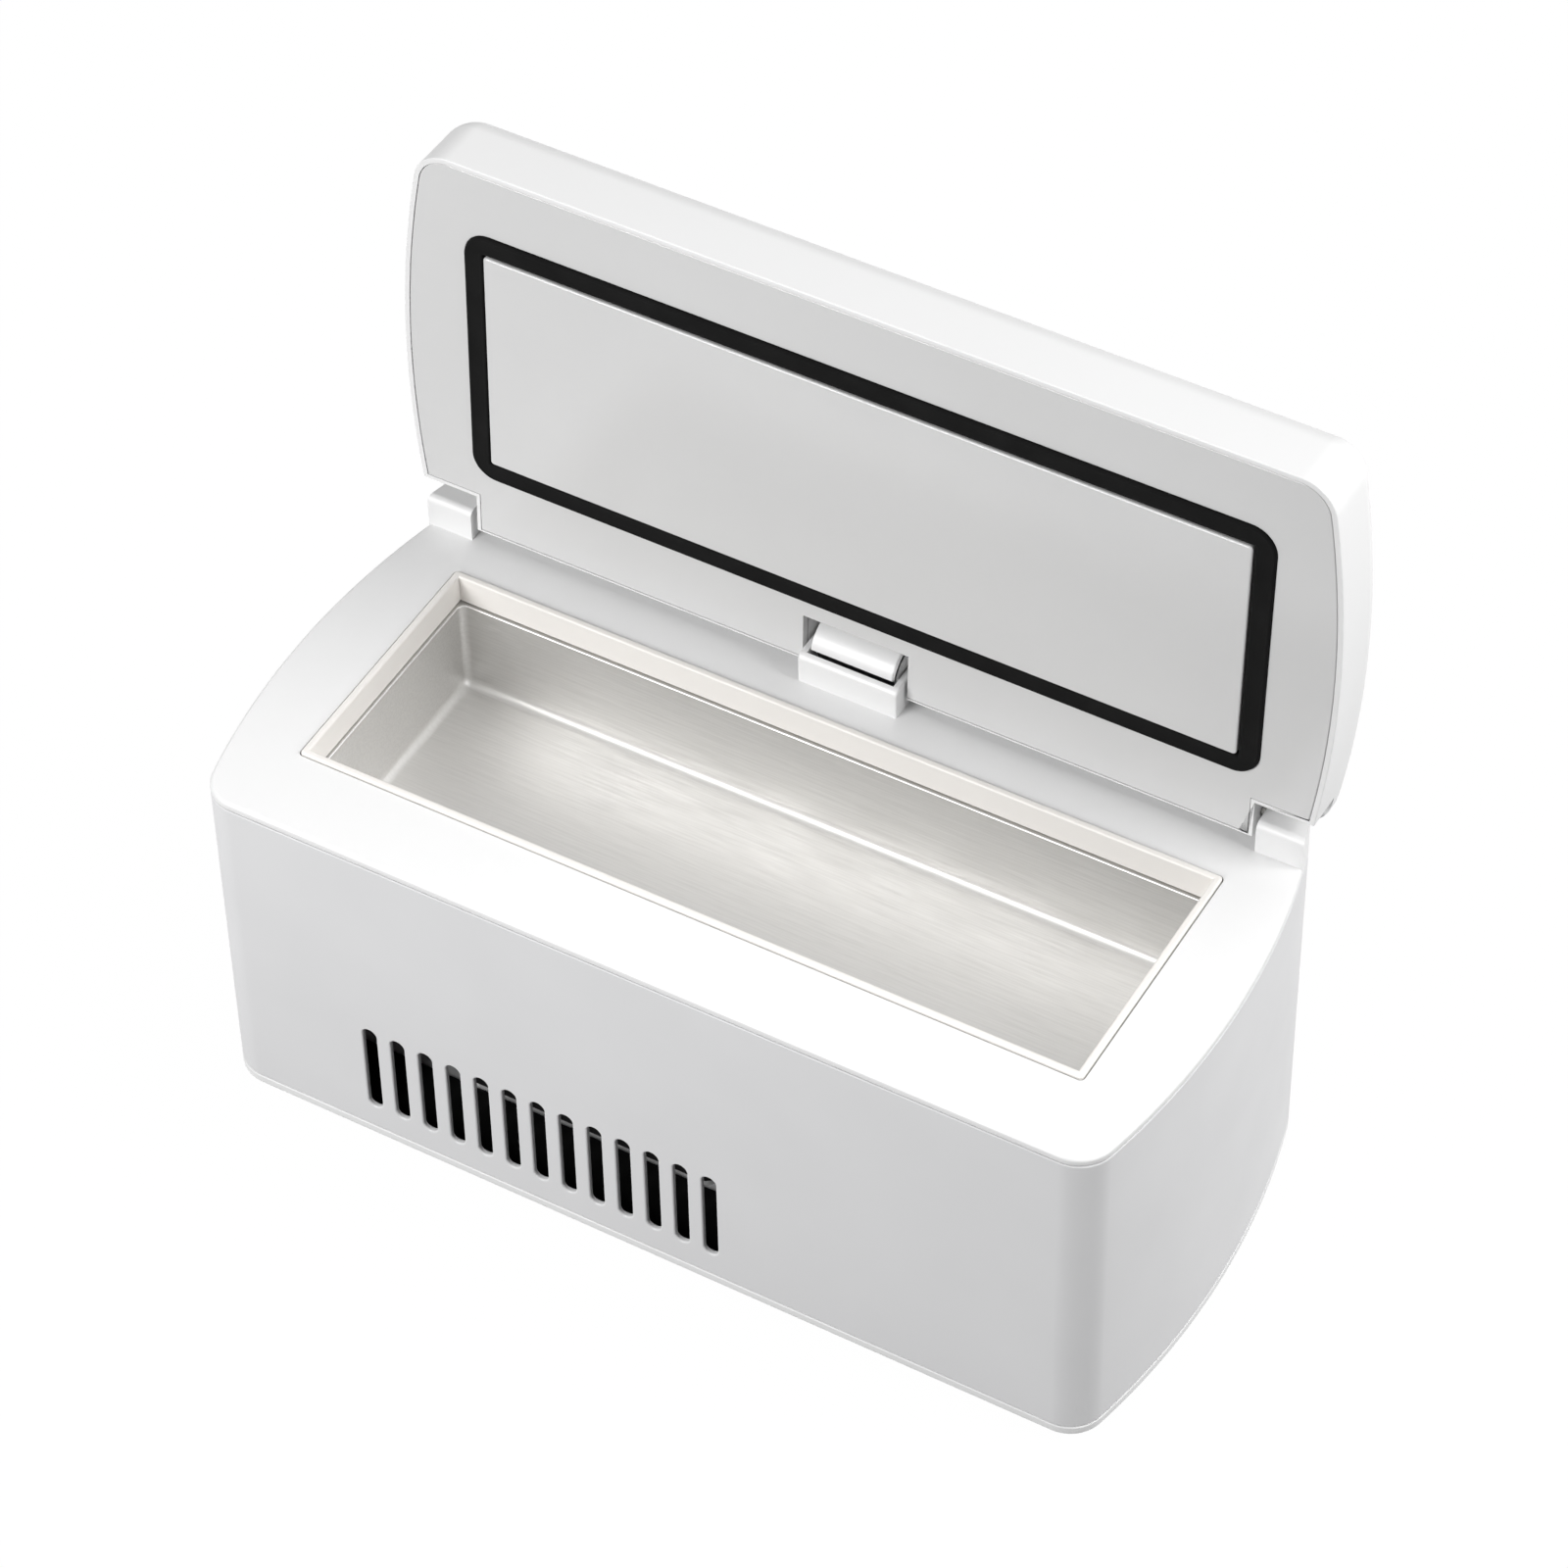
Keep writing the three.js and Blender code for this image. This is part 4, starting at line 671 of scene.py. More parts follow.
@dataclass(frozen=True)
class ShrinkWrap:
    """PVC shrink sleeve: thin and glossy, with faint wrinkles round the cell."""

    name: str
    colour: str
    shade: str
    wrinkle: float
    relief: float

    def make(self) -> bpy.types.Material:
        """Builds the material."""
        surface = Surface.begin(self.name, (1, 0.15, 1), IOR=1.54)
        wrinkles = surface.noise(self.wrinkle)
        surface.paint(wrinkles, self.colour, self.shade)
        surface.wire("Roughness", surface.range(wrinkles, 0.22, 0.34))
        surface.bump(wrinkles, self.relief)
        return surface.material


@dataclass(frozen=True)
class FlatFlexCable:
    """Polyester flat cable: black film with a rib over each of its flat wires."""

    name: str
    colour: str
    shade: str
    pitch: float
    relief: float

    def make(self) -> bpy.types.Material:
        """Builds the material."""
        surface = Surface.begin(self.name, Roughness=0.35, IOR=1.57)
        turns_per_cell = 0.05
        inputs = {"Vector": surface.place, "Scale": per_size(self.pitch) * turns_per_cell * math.pi}
        ribs = add_node(surface.tree, "ShaderNodeTexWave", inputs, bands_direction="X").outputs["Fac"]
        surface.paint(ribs, self.shade, self.colour)
        surface.bump(ribs, self.relief)
        return surface.material


@dataclass(frozen=True)
class TintedAcrylic:
    """Smoked acrylic: polished and see-through, with a faint orange peel in its gloss."""

    name: str
    colour: str
    peel: float
    relief: float

    def make(self) -> bpy.types.Material:
        """Builds the material."""
        surface = Surface.begin(
            self.name, Base_Color=linear(self.colour), IOR=1.49, Transmission_Weight=0.82,
        )
        peel = surface.noise(self.peel)
        surface.wire("Roughness", surface.range(peel, 0.02, 0.06))
        surface.bump(peel, self.relief)
        return surface.material


FINISHES = {
    # ABS moulded white and left satin: bright, with a soft wide highlight.
    Slot.WHITE: MouldedPlastic("satin_white_abs", "#E7E7E7", "#E4E4E4", 0.36, 0.8, 0.004),
    # ABS of the side wall and buttons, a little greyer than the deck's white: partly its own silver-grey tone, partly
    # painted shade for the side walls, which get less of the top light. Spark-textured mould: soft sheen, no clear
    # reflection.
    Slot.SILVER_AND_SHADE: MouldedPlastic("silver_grey_abs_with_painted_shade", "#DCDCDD", "#D7D7D8", 0.42, 0.6, 0.006),
    # Pale grey ABS from a polished mould: mirrors a little of the deck below.
    Slot.PANEL: MouldedPlastic("polished_grey_abs", "#D2D2D2", "#CECECE", 0.18, 3.0, 0.002),
    # Warm white ABS liner: duller than the deck, against which it reads as cream.
    Slot.LINER: MouldedPlastic("warm_white_liner_abs", "#EAE7E3", "#E6E3DF", 0.40, 0.6, 0.006),
    # Drawn aluminium sheet, satin anodised: streaks run along the tank.
    Slot.TANK: BrushedMetal("satin_anodised_aluminium", "#DCDBD9", "#D0CFCD", 0.5, 0.5, 0.004),
    # Extruded aluminium, dyed black as it is anodised: dark, with a grey sheen along its edges.
    Slot.ANODISED: BrushedMetal("black_anodised_aluminium", "#0E0E0F", "#0A0A0B", 0.6, 0.5, 0.004),
    # Expanded polyethylene foam.
    Slot.FOAM: CellularFoam("closed_cell_foam", "#EDEADF", "#DAD6CA", 1.2, 0.15),
    # Black ABS for parts that are out of sight.
    Slot.BLACK: MouldedPlastic("black_abs", "#1B1B1C", "#232324", 0.46, 0.7, 0.012),
    # Alumina plates of the thermoelectric module.
    Slot.CERAMIC: MouldedPlastic("alumina_ceramic", "#F1EFEA", "#E8E5DE", 0.62, 0.4, 0.01, 6.0, 1.76),
    # Nickel plated steel of screws, pins and magnets.
    Slot.STEEL: BrushedMetal("nickel_plated_steel", "#C9C8C4", "#BDBCB8", 0.28, 0.4, 0.002, (1, 1, 1)),
    Slot.WRAP: ShrinkWrap("pvc_shrink_wrap", "#3F6FA8", "#38649A", 4.0, 0.05),
    Slot.BOARD: SolderMask("green_solder_mask", "#1C5636", "#2E7A4C", 5.0, 0.05),
    # Moulded silicone rubber of the lid seal and the feet.
    Slot.RUBBER: MouldedPlastic("silicone_rubber", "#131313", "#171717", 0.88, 0.5, 0.01, 9.0, 1.20),
    Slot.WINDOW: TintedAcrylic("smoked_acrylic", "#33383C", 6.0, 0.002),
}


# Reflective twisted nematic cell with no segment on.
LCD_CELL = MouldedPlastic("lcd_cell_glass", "#8C948A", "#868E85", 0.12, 4.0, 0.001, 30.0, 1.52)
# Black polyester flat cable.
FLAT_CABLE = FlatFlexCable("black_flat_cable", "#17181A", "#222427", 1.0, 0.08)


class Finishes:
    """Makes each material once and hands it out."""

    def __init__(self) -> None:
        """Starts with no material made."""
        self._made: dict[str, bpy.types.Material] = {}

    def get(self, finish: object) -> bpy.types.Material:
        """Material of a finish.

        Args:
            finish: one of the finish classes above.

        Returns:
            Its material, made at the first call.
        """
        if finish.name not in self._made:
            self._made[finish.name] = finish.make()
        return self._made[finish.name]

    def of(self, slot: Slot) -> bpy.types.Material:
        """Material of a slot of the record."""
        return self.get(FINISHES[slot])


FINISH = Finishes()
HINGE = Hinge.of_frame()


def finish(
    piece: bpy.types.Object, body: str, slot: Slot, *nodes: str, finish_name: object = None,
) -> bpy.types.Object:
    """Scales a piece to metres, shades it and hands it to the frame.

    Args:
        piece: finished mesh in millimetres. Lid pieces are drawn shut.
        body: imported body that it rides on.
        slot: material slot of the record.
        nodes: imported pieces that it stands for.
        finish_name: finish to use instead of the slot's own.

    Returns:
        The piece.
    """
    place = Matrix.Scale(MM, 4)
    if body != "case" and body != "fan":
        place = place @ HINGE.turn(-HINGE.opening)
    piece.data.transform(place)
    smooth(piece)
    piece.data.materials.clear()
    piece.data.materials.append(FINISH.get(finish_name) if finish_name else FINISH.of(slot))
    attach(piece, body)
    if nodes:
        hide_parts(*nodes)
    log.info("%s: %d faces on %s", piece.name, len(piece.data.polygons), body)
    return piece


def dress(slot: Slot, *nodes: str, finish_name: object = None) -> None:
    """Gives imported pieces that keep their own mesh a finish.

    Args:
        slot: material slot of the record.
        nodes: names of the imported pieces.
        finish_name: finish to use instead of the slot's own.
    """
    for node in nodes:
        piece = frame["nodes"][node]
        piece.data.materials.clear()
        piece.data.materials.append(FINISH.get(finish_name) if finish_name else FINISH.of(slot))
        log.info("%s keeps its packed mesh", node)


@dataclass(frozen=True)
class Repeat:
    """Repeats a mesh with Geometry Nodes, and leaves a plain mesh."""

    name: str

    def _open(self, inputs: dict[str, tuple[str, object]]) -> tuple[bpy.types.NodeTree, bpy.types.Node, dict]:
        """Starts a tree with named inputs, and returns it with its input node and their values."""
        tree = bpy.data.node_groups.new(self.name, "GeometryNodeTree")
        tree.interface.new_socket("Geometry", in_out="INPUT", socket_type="NodeSocketGeometry")
        tree.interface.new_socket("Geometry", in_out="OUTPUT", socket_type="NodeSocketGeometry")
        values = {}
        for name, (kind, value) in inputs.items():
            socket = tree.interface.new_socket(name, in_out="INPUT", socket_type=kind)
            values[socket.identifier] = value
        return tree, add_node(tree, "NodeGroupInput"), values

    @staticmethod
    def _close(
        tree: bpy.types.NodeTree, copies: bpy.types.NodeSocket, source: bpy.types.Node,
    ) -> None:
        """Ends a tree in Realize Instances and Set Material."""
        real = add_node(tree, "GeometryNodeRealizeInstances", {"Geometry": copies})
        dressed = add_node(
            tree, "GeometryNodeSetMaterial",
            {"Geometry": real.outputs["Geometry"], "Material": source.outputs["Material"]},
        )
        add_node(tree, "NodeGroupOutput", {"Geometry": dressed.outputs["Geometry"]})

    @staticmethod
    def _run(piece: bpy.types.Object, tree: bpy.types.NodeTree, values: dict) -> bpy.types.Object:
        """Runs a tree on a piece and keeps the plain result."""
        modifier = piece.modifiers.new(tree.name, "NODES")
        modifier.node_group = tree
        for identifier, value in values.items():
            modifier[identifier] = value
        return freeze(piece)

    def row(self, piece: bpy.types.Object, count: int, step: Vector, slot: Slot) -> bpy.types.Object:
        """Repeats a piece along a line.

        Args:
            piece: the first copy.
            count: number of copies.
            step: move from one copy to the next, in millimetres.
            slot: material slot of the copies.

        Returns:
            The piece with all copies in its mesh.
        """
        tree, source, values = self._open({
            "Count": ("NodeSocketInt", count),
            "Step": ("NodeSocketVector", tuple(step)),
            "Material": ("NodeSocketMaterial", FINISH.of(slot)),
        })
        line = add_node(
            tree, "GeometryNodeMeshLine",
            {"Count": source.outputs["Count"], "Offset": source.outputs["Step"]},
        )
        copies = add_node(
            tree, "GeometryNodeInstanceOnPoints",
            {"Points": line.outputs["Mesh"], "Instance": source.outputs["Geometry"]},
        )
        self._close(tree, copies.outputs["Instances"], source)
        return self._run(piece, tree, values)

    def corners(self, piece: bpy.types.Object, size: Point, slot: Slot) -> bpy.types.Object:
        """Repeats a piece that is drawn about a middle at the four corners of a rectangle.

        Args:
            piece: the copy, drawn about the middle of the rectangle.
            size: length and depth of the rectangle, in millimetres.
            slot: material slot of the copies.

        Returns:
            The piece with all copies in its mesh.
        """
        tree, source, values = self._open({
            "Length": ("NodeSocketFloat", size[0]),
            "Depth": ("NodeSocketFloat", size[1]),
            "Material": ("NodeSocketMaterial", FINISH.of(slot)),
        })
        corner = add_node(
            tree, "GeometryNodeMeshGrid",
            {
                "Size X": source.outputs["Length"], "Size Y": source.outputs["Depth"],
                "Vertices X": 2, "Vertices Y": 2,
            },
        )
        copies = add_node(
            tree, "GeometryNodeInstanceOnPoints",
            {"Points": corner.outputs["Mesh"], "Instance": source.outputs["Geometry"]},
        )
        self._close(tree, copies.outputs["Instances"], source)
        return self._run(piece, tree, values)

    def ring(self, piece: bpy.types.Object, count: int, centre: Vector, slot: Slot) -> bpy.types.Object:
        """Repeats a piece round an upright axis.

        Args:
            piece: the first copy.
            count: number of copies in the full turn.
            centre: point on the axis, in millimetres.
            slot: material slot of the copies.

        Returns:
            The piece with all copies in its mesh.
        """
        piece.data.transform(Matrix.Translation(-centre))
        tree, source, values = self._open({
            "Count": ("NodeSocketInt", count),
            "Centre": ("NodeSocketVector", tuple(centre)),
            "Material": ("NodeSocketMaterial", FINISH.of(slot)),
        })
        points = add_node(
            tree, "GeometryNodePoints",
            {"Count": source.outputs["Count"], "Position": source.outputs["Centre"]},
        )
        number = add_node(tree, "GeometryNodeInputIndex").outputs["Index"]
        step = add_node(
            tree, "ShaderNodeMath", {0: 2 * HALF_TURN, 1: source.outputs["Count"]}, operation="DIVIDE",
        ).outputs[0]
        angle = add_node(tree, "ShaderNodeMath", {0: number, 1: step}, operation="MULTIPLY").outputs[0]
        turn = add_node(tree, "ShaderNodeCombineXYZ", {"Z": angle}).outputs["Vector"]
        copies = add_node(
            tree, "GeometryNodeInstanceOnPoints",
            {"Points": points.outputs[0], "Instance": source.outputs["Geometry"], "Rotation": turn},
        )
        self._close(tree, copies.outputs["Instances"], source)
        return self._run(piece, tree, values)


def case_plan() -> Plan:
    """Plan of the case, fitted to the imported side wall."""
    wall = box_of("side_wall")
    return Plan(
        half_length=wall.half.x, centre_y=wall.centre.y, front=wall.half.y, rear=wall.half.y,
        end_radius=172.0, bow_shift=-2.0, front_corner=8.0, rear_corner=5.0,
    )


@dataclass(frozen=True)
class SlotMouth:
    """A slot with round ends and a small round edge at its mouth."""

    width: float
    height: float
    edge: float

    def tool(self, name: str, middle: Point, face: float, depth: float, axis: Axis) -> bpy.types.Object:
        """Cutter that enters a face and flares at its mouth.

        Args:
            name: name of the tool.
            middle: centre of the slot in the two axes that it doesn't run along.
            face: place of the face that it enters.
            depth: signed way that it goes in behind the face.
            axis: direction that it runs in.

        Returns:
            The closed cutter.
        """
        side = 1 if depth > 0 else -1
        rings: list[Ring] = [(self._outline(middle, 0), face + depth)]
        for inset, drop in quarter_round(self.edge):
            rings.append((self._outline(middle, inset), face + side * drop))
        rings.append((self._outline(middle, self.edge), face - side * OVERRUN))
        return loft(name, rings, axis)

    def _outline(self, middle: Point, grow: float) -> list[Point]:
        """Outline of the slot, grown by a width all round."""
        half = (self.width / 2 + grow, self.height / 2 + grow)
        return rounded_rectangle(*half, min(half), *middle)


@dataclass(frozen=True)
class CaseShell:
    """Side wall, deck cover, base cover, feet and base screws."""

    wall: float = 2.2
    deck_edge: float = 1.8
    deck_round: float = 0.8
    deck_step: float = 1.8
    base_round: float = 1.2
    seam_round: float = SEAM_ROUND
    vent_count: int = 13
    vent_pitch: float = 6.48
    vent_mouth: SlotMouth = SlotMouth(3.2, 23.2, 0.45)
    vent_low: float = 11.0
    vent_skin: float = 1.0
    vent_relief_edge: float = 1.5
    # Size of the thin black pads that stand in as painted shade behind the air slots
    shade_pad_depth: float = 14.0
    shade_pad_thickness: float = 0.5
    intake_count: int = 9
    intake_pitch: float = 5.6
    intake_mouth: SlotMouth = SlotMouth(2.8, 44.0, 0.4)
    column_inset: Point = (11.0, 9.0)
    column_radius: float = 3.8
    column_web: float = 2.4
    column_bore: float = 1.55
    screw_bite: float = 10.0
    peg_radius: float = 1.7
    peg_length: float = 5.4
    jack_hole: float = 4.5
    base_edge: float = 2.6
    base_step: float = 1.4
    base_step_wall: float = 1.5

    def build(self) -> None:
        """Builds and dresses every piece of the shell."""
        self.side_wall()
        self.deck_cover()
        self.base_cover()
        self.painted_shade_pads()
        self.feet()
        self.base_screws()

    def column_spots(self) -> list[Point]:
        """Middles of the four corner columns."""
        plan = case_plan()
        x = plan.half_length - self.column_inset[0]
        y = plan.front - self.column_inset[1]
        return [(side_x * x, plan.centre_y + side_y * y) for side_y in (-1, 1) for side_x in (-1, 1)]

    def side_wall(self) -> None:
        """Wall round the case, with air slots front and rear and the hole for the charging jack."""
        plan, box = case_plan(), box_of("side_wall")
        outer = [(inset, drop) for inset, drop in quarter_round(self.seam_round, 4)]
        low = [(plan.outline(inset), box.low.z + drop) for inset, drop in reversed(outer)]
        high = [(plan.outline(inset), box.high.z - drop) for inset, drop in outer]
        inner = [(plan.outline(self.wall), box.high.z), (plan.outline(self.wall), box.low.z)]
        piece = loft("case_side_wall", low + high + inner, closed=True)
        faces = {
            "front": (plan.centre_y - plan.front, self.wall + OVERRUN),
            "rear": (plan.centre_y + plan.rear, -self.wall - OVERRUN),
        }
        tools = [self._vents(name, *place) for name, place in faces.items()]
        tools += [self._vent_relief(name, *place) for name, place in faces.items()]
        jack = box_of("dc_jack")
        middle = (jack.centre.x, jack.centre.z)
        mouth = SlotMouth(2 * self.jack_hole, 2 * self.jack_hole, 0.4)
        tools.append(mouth.tool("jack_hole", middle, *faces["rear"], Axis.Y))
        shape(piece, Cut.JOIN, *self._columns())
        shape(piece, Cut.AWAY, *tools, *self._column_bores())
        finish(piece, "case", Slot.SILVER_AND_SHADE, "side_wall")

    def _column_height(self) -> Span:
        """Lower and upper end of the corner columns."""
        wall = box_of("side_wall")
        low = wall.low.z + self.base_step
        return low, wall.high.z - self.deck_step

    def _columns(self) -> list[bpy.types.Object]:
        """Corner columns in front and behind, each tied to the wall by a web."""
        plan, height = case_plan(), self._column_height()
        pairs = []
        for name, side in (("front_columns", -1), ("rear_columns", 1)):
            x, y = self.column_spots()[0 if side < 0 else 2]
            face = plan.centre_y + side * (plan.front - self.wall / 2)
            column = rod(name, self.column_radius, (x, y), height)
            half = self.column_web / 2
            web = block("column_web", (x - half, x + half), (min(y, face), max(y, face)), height)
            shape(column, Cut.JOIN, web)
            pairs.append(Repeat(name).row(column, 2, Vector((-2 * x, 0, 0)), Slot.SILVER_AND_SHADE))
        return pairs

    def _column_bores(self) -> list[bpy.types.Object]:
        """Bores for the base screws below and for the pegs of the deck cover above."""
        low, high = self._column_height()
        peg = box_of("deck_cover").low.z - CLEARANCE
        screw_bore = rod("column_bore", self.column_bore, (0, 0), (low - OVERRUN, low + self.screw_bite),
                         sides=SMALL_SIDES)
        peg_bore = rod("peg_bore", self.peg_radius + CLEARANCE, (0, 0), (peg, high + OVERRUN),
                       sides=SMALL_SIDES)
        return [
            self._at_corners("screw_seats", screw_bore, "base_screw"),
            self._at_corners("peg_seats", peg_bore, "base_screw"),
        ]

    def _vents(self, name: str, face: float, depth: float) -> bpy.types.Object:
        """Cutters of one row of air slots."""
        first = box_of("heat_sink").centre.x - (self.vent_count - 1) / 2 * self.vent_pitch
        middle = (first, self.vent_low + self.vent_mouth.height / 2)
        tool = self.vent_mouth.tool(f"{name}_vent", middle, face, depth, Axis.Y)
        step = Vector((self.vent_pitch, 0, 0))
        return Repeat(f"{name}_vents").row(tool, self.vent_count, step, Slot.SILVER_AND_SHADE)

    def _vent_relief(self, name: str, face: float, depth: float) -> bpy.types.Object:
        """Cutter that thins the wall behind one row of air slots."""
        middle, half = box_of("heat_sink").centre.x, self.vent_count * self.vent_pitch / 2
        y = sorted((face + math.copysign(self.vent_skin, depth), face + depth))
        edge = self.vent_relief_edge
        z = (self.vent_low - edge, self.vent_low + self.vent_mouth.height + edge)
        return block(f"{name}_relief", (middle - half, middle + half), (y[0], y[1]), z)

    def deck_cover(self) -> None:
        """Top cover with its hinge blocks and the opening for the collar."""
        plan, box = case_plan(), box_of("deck_cover")
        seam = box_of("side_wall").high.z + CLEARANCE
        top = seam + self.deck_edge
        rings = [(plan.outline(inset), seam + drop) for inset, drop in reversed(quarter_round(self.seam_round, 4))]
        rings += [(plan.outline(inset), top - drop) for inset, drop in quarter_round(self.deck_round)]
        piece = loft("case_deck_cover", rings)
        step = plan.outline(self.wall + CLEARANCE)
        shape(piece, Cut.JOIN, prism("deck_step", step, (seam - self.deck_step, seam + OVERRUN / 2)))
        blocks = HingeBlocks(deck_top=top)
        blocks.join_to(piece)
        collar = box_of("rim_collar")
        rim = Compartment().rim_half()
        hole = rounded_rectangle(
            rim[0] + CLEARANCE, rim[1] + CLEARANCE, Compartment().rim_corner + CLEARANCE,
            0, collar.centre.y,
        )
        shape(piece, Cut.AWAY, prism("collar_opening", hole, (seam - self.deck_step - OVERRUN, top + OVERRUN)))
        blocks.cut(piece)
        pegs = [
            rod(f"peg_{number}", self.peg_radius, spot, (box.low.z, seam), edge=0.4, sides=SMALL_SIDES)
            for number, spot in enumerate(self.column_spots())
        ]
        shape(piece, Cut.JOIN, *pegs)
        soften(piece, 0.25)
        finish(piece, "case", Slot.WHITE, "deck_cover")

    def base_cover(self) -> None:
        """Bottom cover with its air intake, foot sockets and screw holes."""
        plan, box = case_plan(), box_of("base_cover")
        top = box.low.z + self.base_edge
        rings = [(plan.outline(inset), box.low.z + drop) for inset, drop in reversed(quarter_round(self.base_round))]
        rings += [(plan.outline(inset), top - drop) for inset, drop in quarter_round(self.seam_round, 4)]
        piece = loft("case_base_cover", rings)
        outline = plan.outline(self.wall + CLEARANCE)
        inner = plan.outline(self.wall + CLEARANCE + self.base_step_wall)
        step = [(outline, top - OVERRUN / 2), (outline, top + self.base_step)]
        step += [(inner, top + self.base_step), (inner, top - OVERRUN / 2)]
        shape(piece, Cut.JOIN, loft("base_step", step, closed=True))
        cold, fan = box_of("heat_sink").centre, box_of("fan_frame")
        first = (cold.x - (self.intake_count - 1) / 2 * self.intake_pitch, plan.centre_y)
        slots = self.intake_mouth.tool("intake", first, box.low.z, self.base_edge + OVERRUN, Axis.Z)
        slots = Repeat("intake_slots").row(
            slots, self.intake_count, Vector((self.intake_pitch, 0, 0)), Slot.WHITE,
        )
        shape(piece, Cut.AWAY, slots)
        post = rod("fan_post", 3.4, (0, 0), (top - OVERRUN / 2, fan.low.z - CLEARANCE), sides=SMALL_SIDES)
        reach = 2 * (fan.half.x - 5.0)
        posts = Repeat("fan_posts").corners(post, (reach, reach), Slot.WHITE)
        posts.data.transform(Matrix.Translation((cold.x, plan.centre_y, 0)))
        shape(piece, Cut.JOIN, posts)
        foot, screw = box_of("foot_front_left"), box_of("base_screw_front_left")
        socket = rod("foot_socket", foot.half.x + CLEARANCE, (0, 0), (-OVERRUN, foot.high.z + CLEARANCE))
        bore = rod("screw_bore", self.column_bore, (0, 0), (0, top + 2 * OVERRUN), sides=SMALL_SIDES)
        head = rod("screw_head_room", screw.half.x + CLEARANCE, (0, 0), (-OVERRUN, box.low.z + 2.0), sides=SMALL_SIDES)
        shape(
            piece, Cut.AWAY,
            self._at_corners("foot_sockets", socket, "foot"),
            self._at_corners("screw_bores", bore, "base_screw"),
            self._at_corners("screw_rooms", head, "base_screw"),
        )
        finish(piece, "case", Slot.WHITE, "base_cover")

    def painted_shade_pads(self) -> None:
        """Thin black pads on the base, behind each row of air slots: dark sheets put in as painted shade, so that the
        case looks dark inside through the slots.
        """
        plan, sink = case_plan(), box_of("heat_sink")
        low = box_of("base_cover").low.z + self.base_edge
        reach = plan.front - self.wall - self.base_step_wall - 2 * CLEARANCE
        for name, side in (("front_shade_pad", -1), ("rear_shade_pad", 1)):
            y = sorted((plan.centre_y + side * reach, plan.centre_y + side * (reach - self.shade_pad_depth)))
            x = (sink.low.x - self.shade_pad_depth, sink.high.x)
            # Black sheet where inside the case there is only shade: painted shade seen through the slots
            pad = block(name, x, (y[0], y[1]), (low, low + self.shade_pad_thickness))
            finish(pad, "case", Slot.RUBBER)

    @staticmethod
    def _at_corners(name: str, tool: bpy.types.Object, kind: str) -> bpy.types.Object:
        """Puts a tool at the four places of a kind of corner piece."""
        near, far = box_of(f"{kind}_front_left").centre, box_of(f"{kind}_rear_right").centre
        copies = Repeat(name).corners(tool, (far.x - near.x, far.y - near.y), Slot.WHITE)
        copies.data.transform(Matrix.Translation((0, (near.y + far.y) / 2, 0)))
        return copies

    @staticmethod
    def _four(kind: str) -> list[str]:
        """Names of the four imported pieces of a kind."""
        return [f"{kind}_{end}_{side}" for end in ("front", "rear") for side in ("left", "right")]

    def feet(self) -> None:
        """Rubber feet with a round edge and a shallow dish below."""
        box = box_of("foot_front_left")
        radius, edge, dish = box.half.x, 0.7, 0.35
        rings = [(radius * 0.55, dish), (radius * 0.62, 0.08), (radius * 0.7, 0.0)]
        rings += [(radius - inset, drop) for inset, drop in reversed(quarter_round(edge))]
        rings += [(radius, box.high.z)]
        outline = [(arc(0, 0, size, 0, 2 * HALF_TURN, ROUND_SIDES)[:-1], z) for size, z in rings]
        piece = self._at_corners("rubber_feet", loft("rubber_feet", outline), "foot")
        finish(piece, "case", Slot.RUBBER, *self._four("foot"))

    def base_screws(self) -> None:
        """Cross recess screws that hold the base to the columns."""
        box = box_of("base_screw_front_left")
        radius, head, shank = box.half.x, 1.4, 1.25
        low = box.low.z
        rings = [(radius - inset, low + drop) for inset, drop in reversed(quarter_round(0.5))]
        rings += [(radius, low + head), (shank, low + head)]
        pitch, crest = 0.9, 0.2
        turns = int((box.high.z - low - head - 1.0) / pitch)
        for turn in range(turns):
            start = low + head + 0.3 + turn * pitch
            rings += [(shank - crest, start), (shank, start + pitch / 2)]
        rings += [(shank - crest, box.high.z - 0.6), (shank * 0.5, box.high.z)]
        outline = [(arc(0, 0, size, 0, 2 * HALF_TURN, SMALL_SIDES)[:-1], z) for size, z in rings]
        piece = loft("base_screws", outline)
        for number, half in enumerate(((1.6, 0.4), (0.4, 1.6))):
            span_x, span_y = (-half[0], half[0]), (-half[1], half[1])
            shape(piece, Cut.AWAY, block(f"cross_{number}", span_x, span_y, (low - OVERRUN, low + 0.7)))
        piece = self._at_corners("base_screws", piece, "base_screw")
        finish(piece, "case", Slot.STEEL, *self._four("base_screw"))


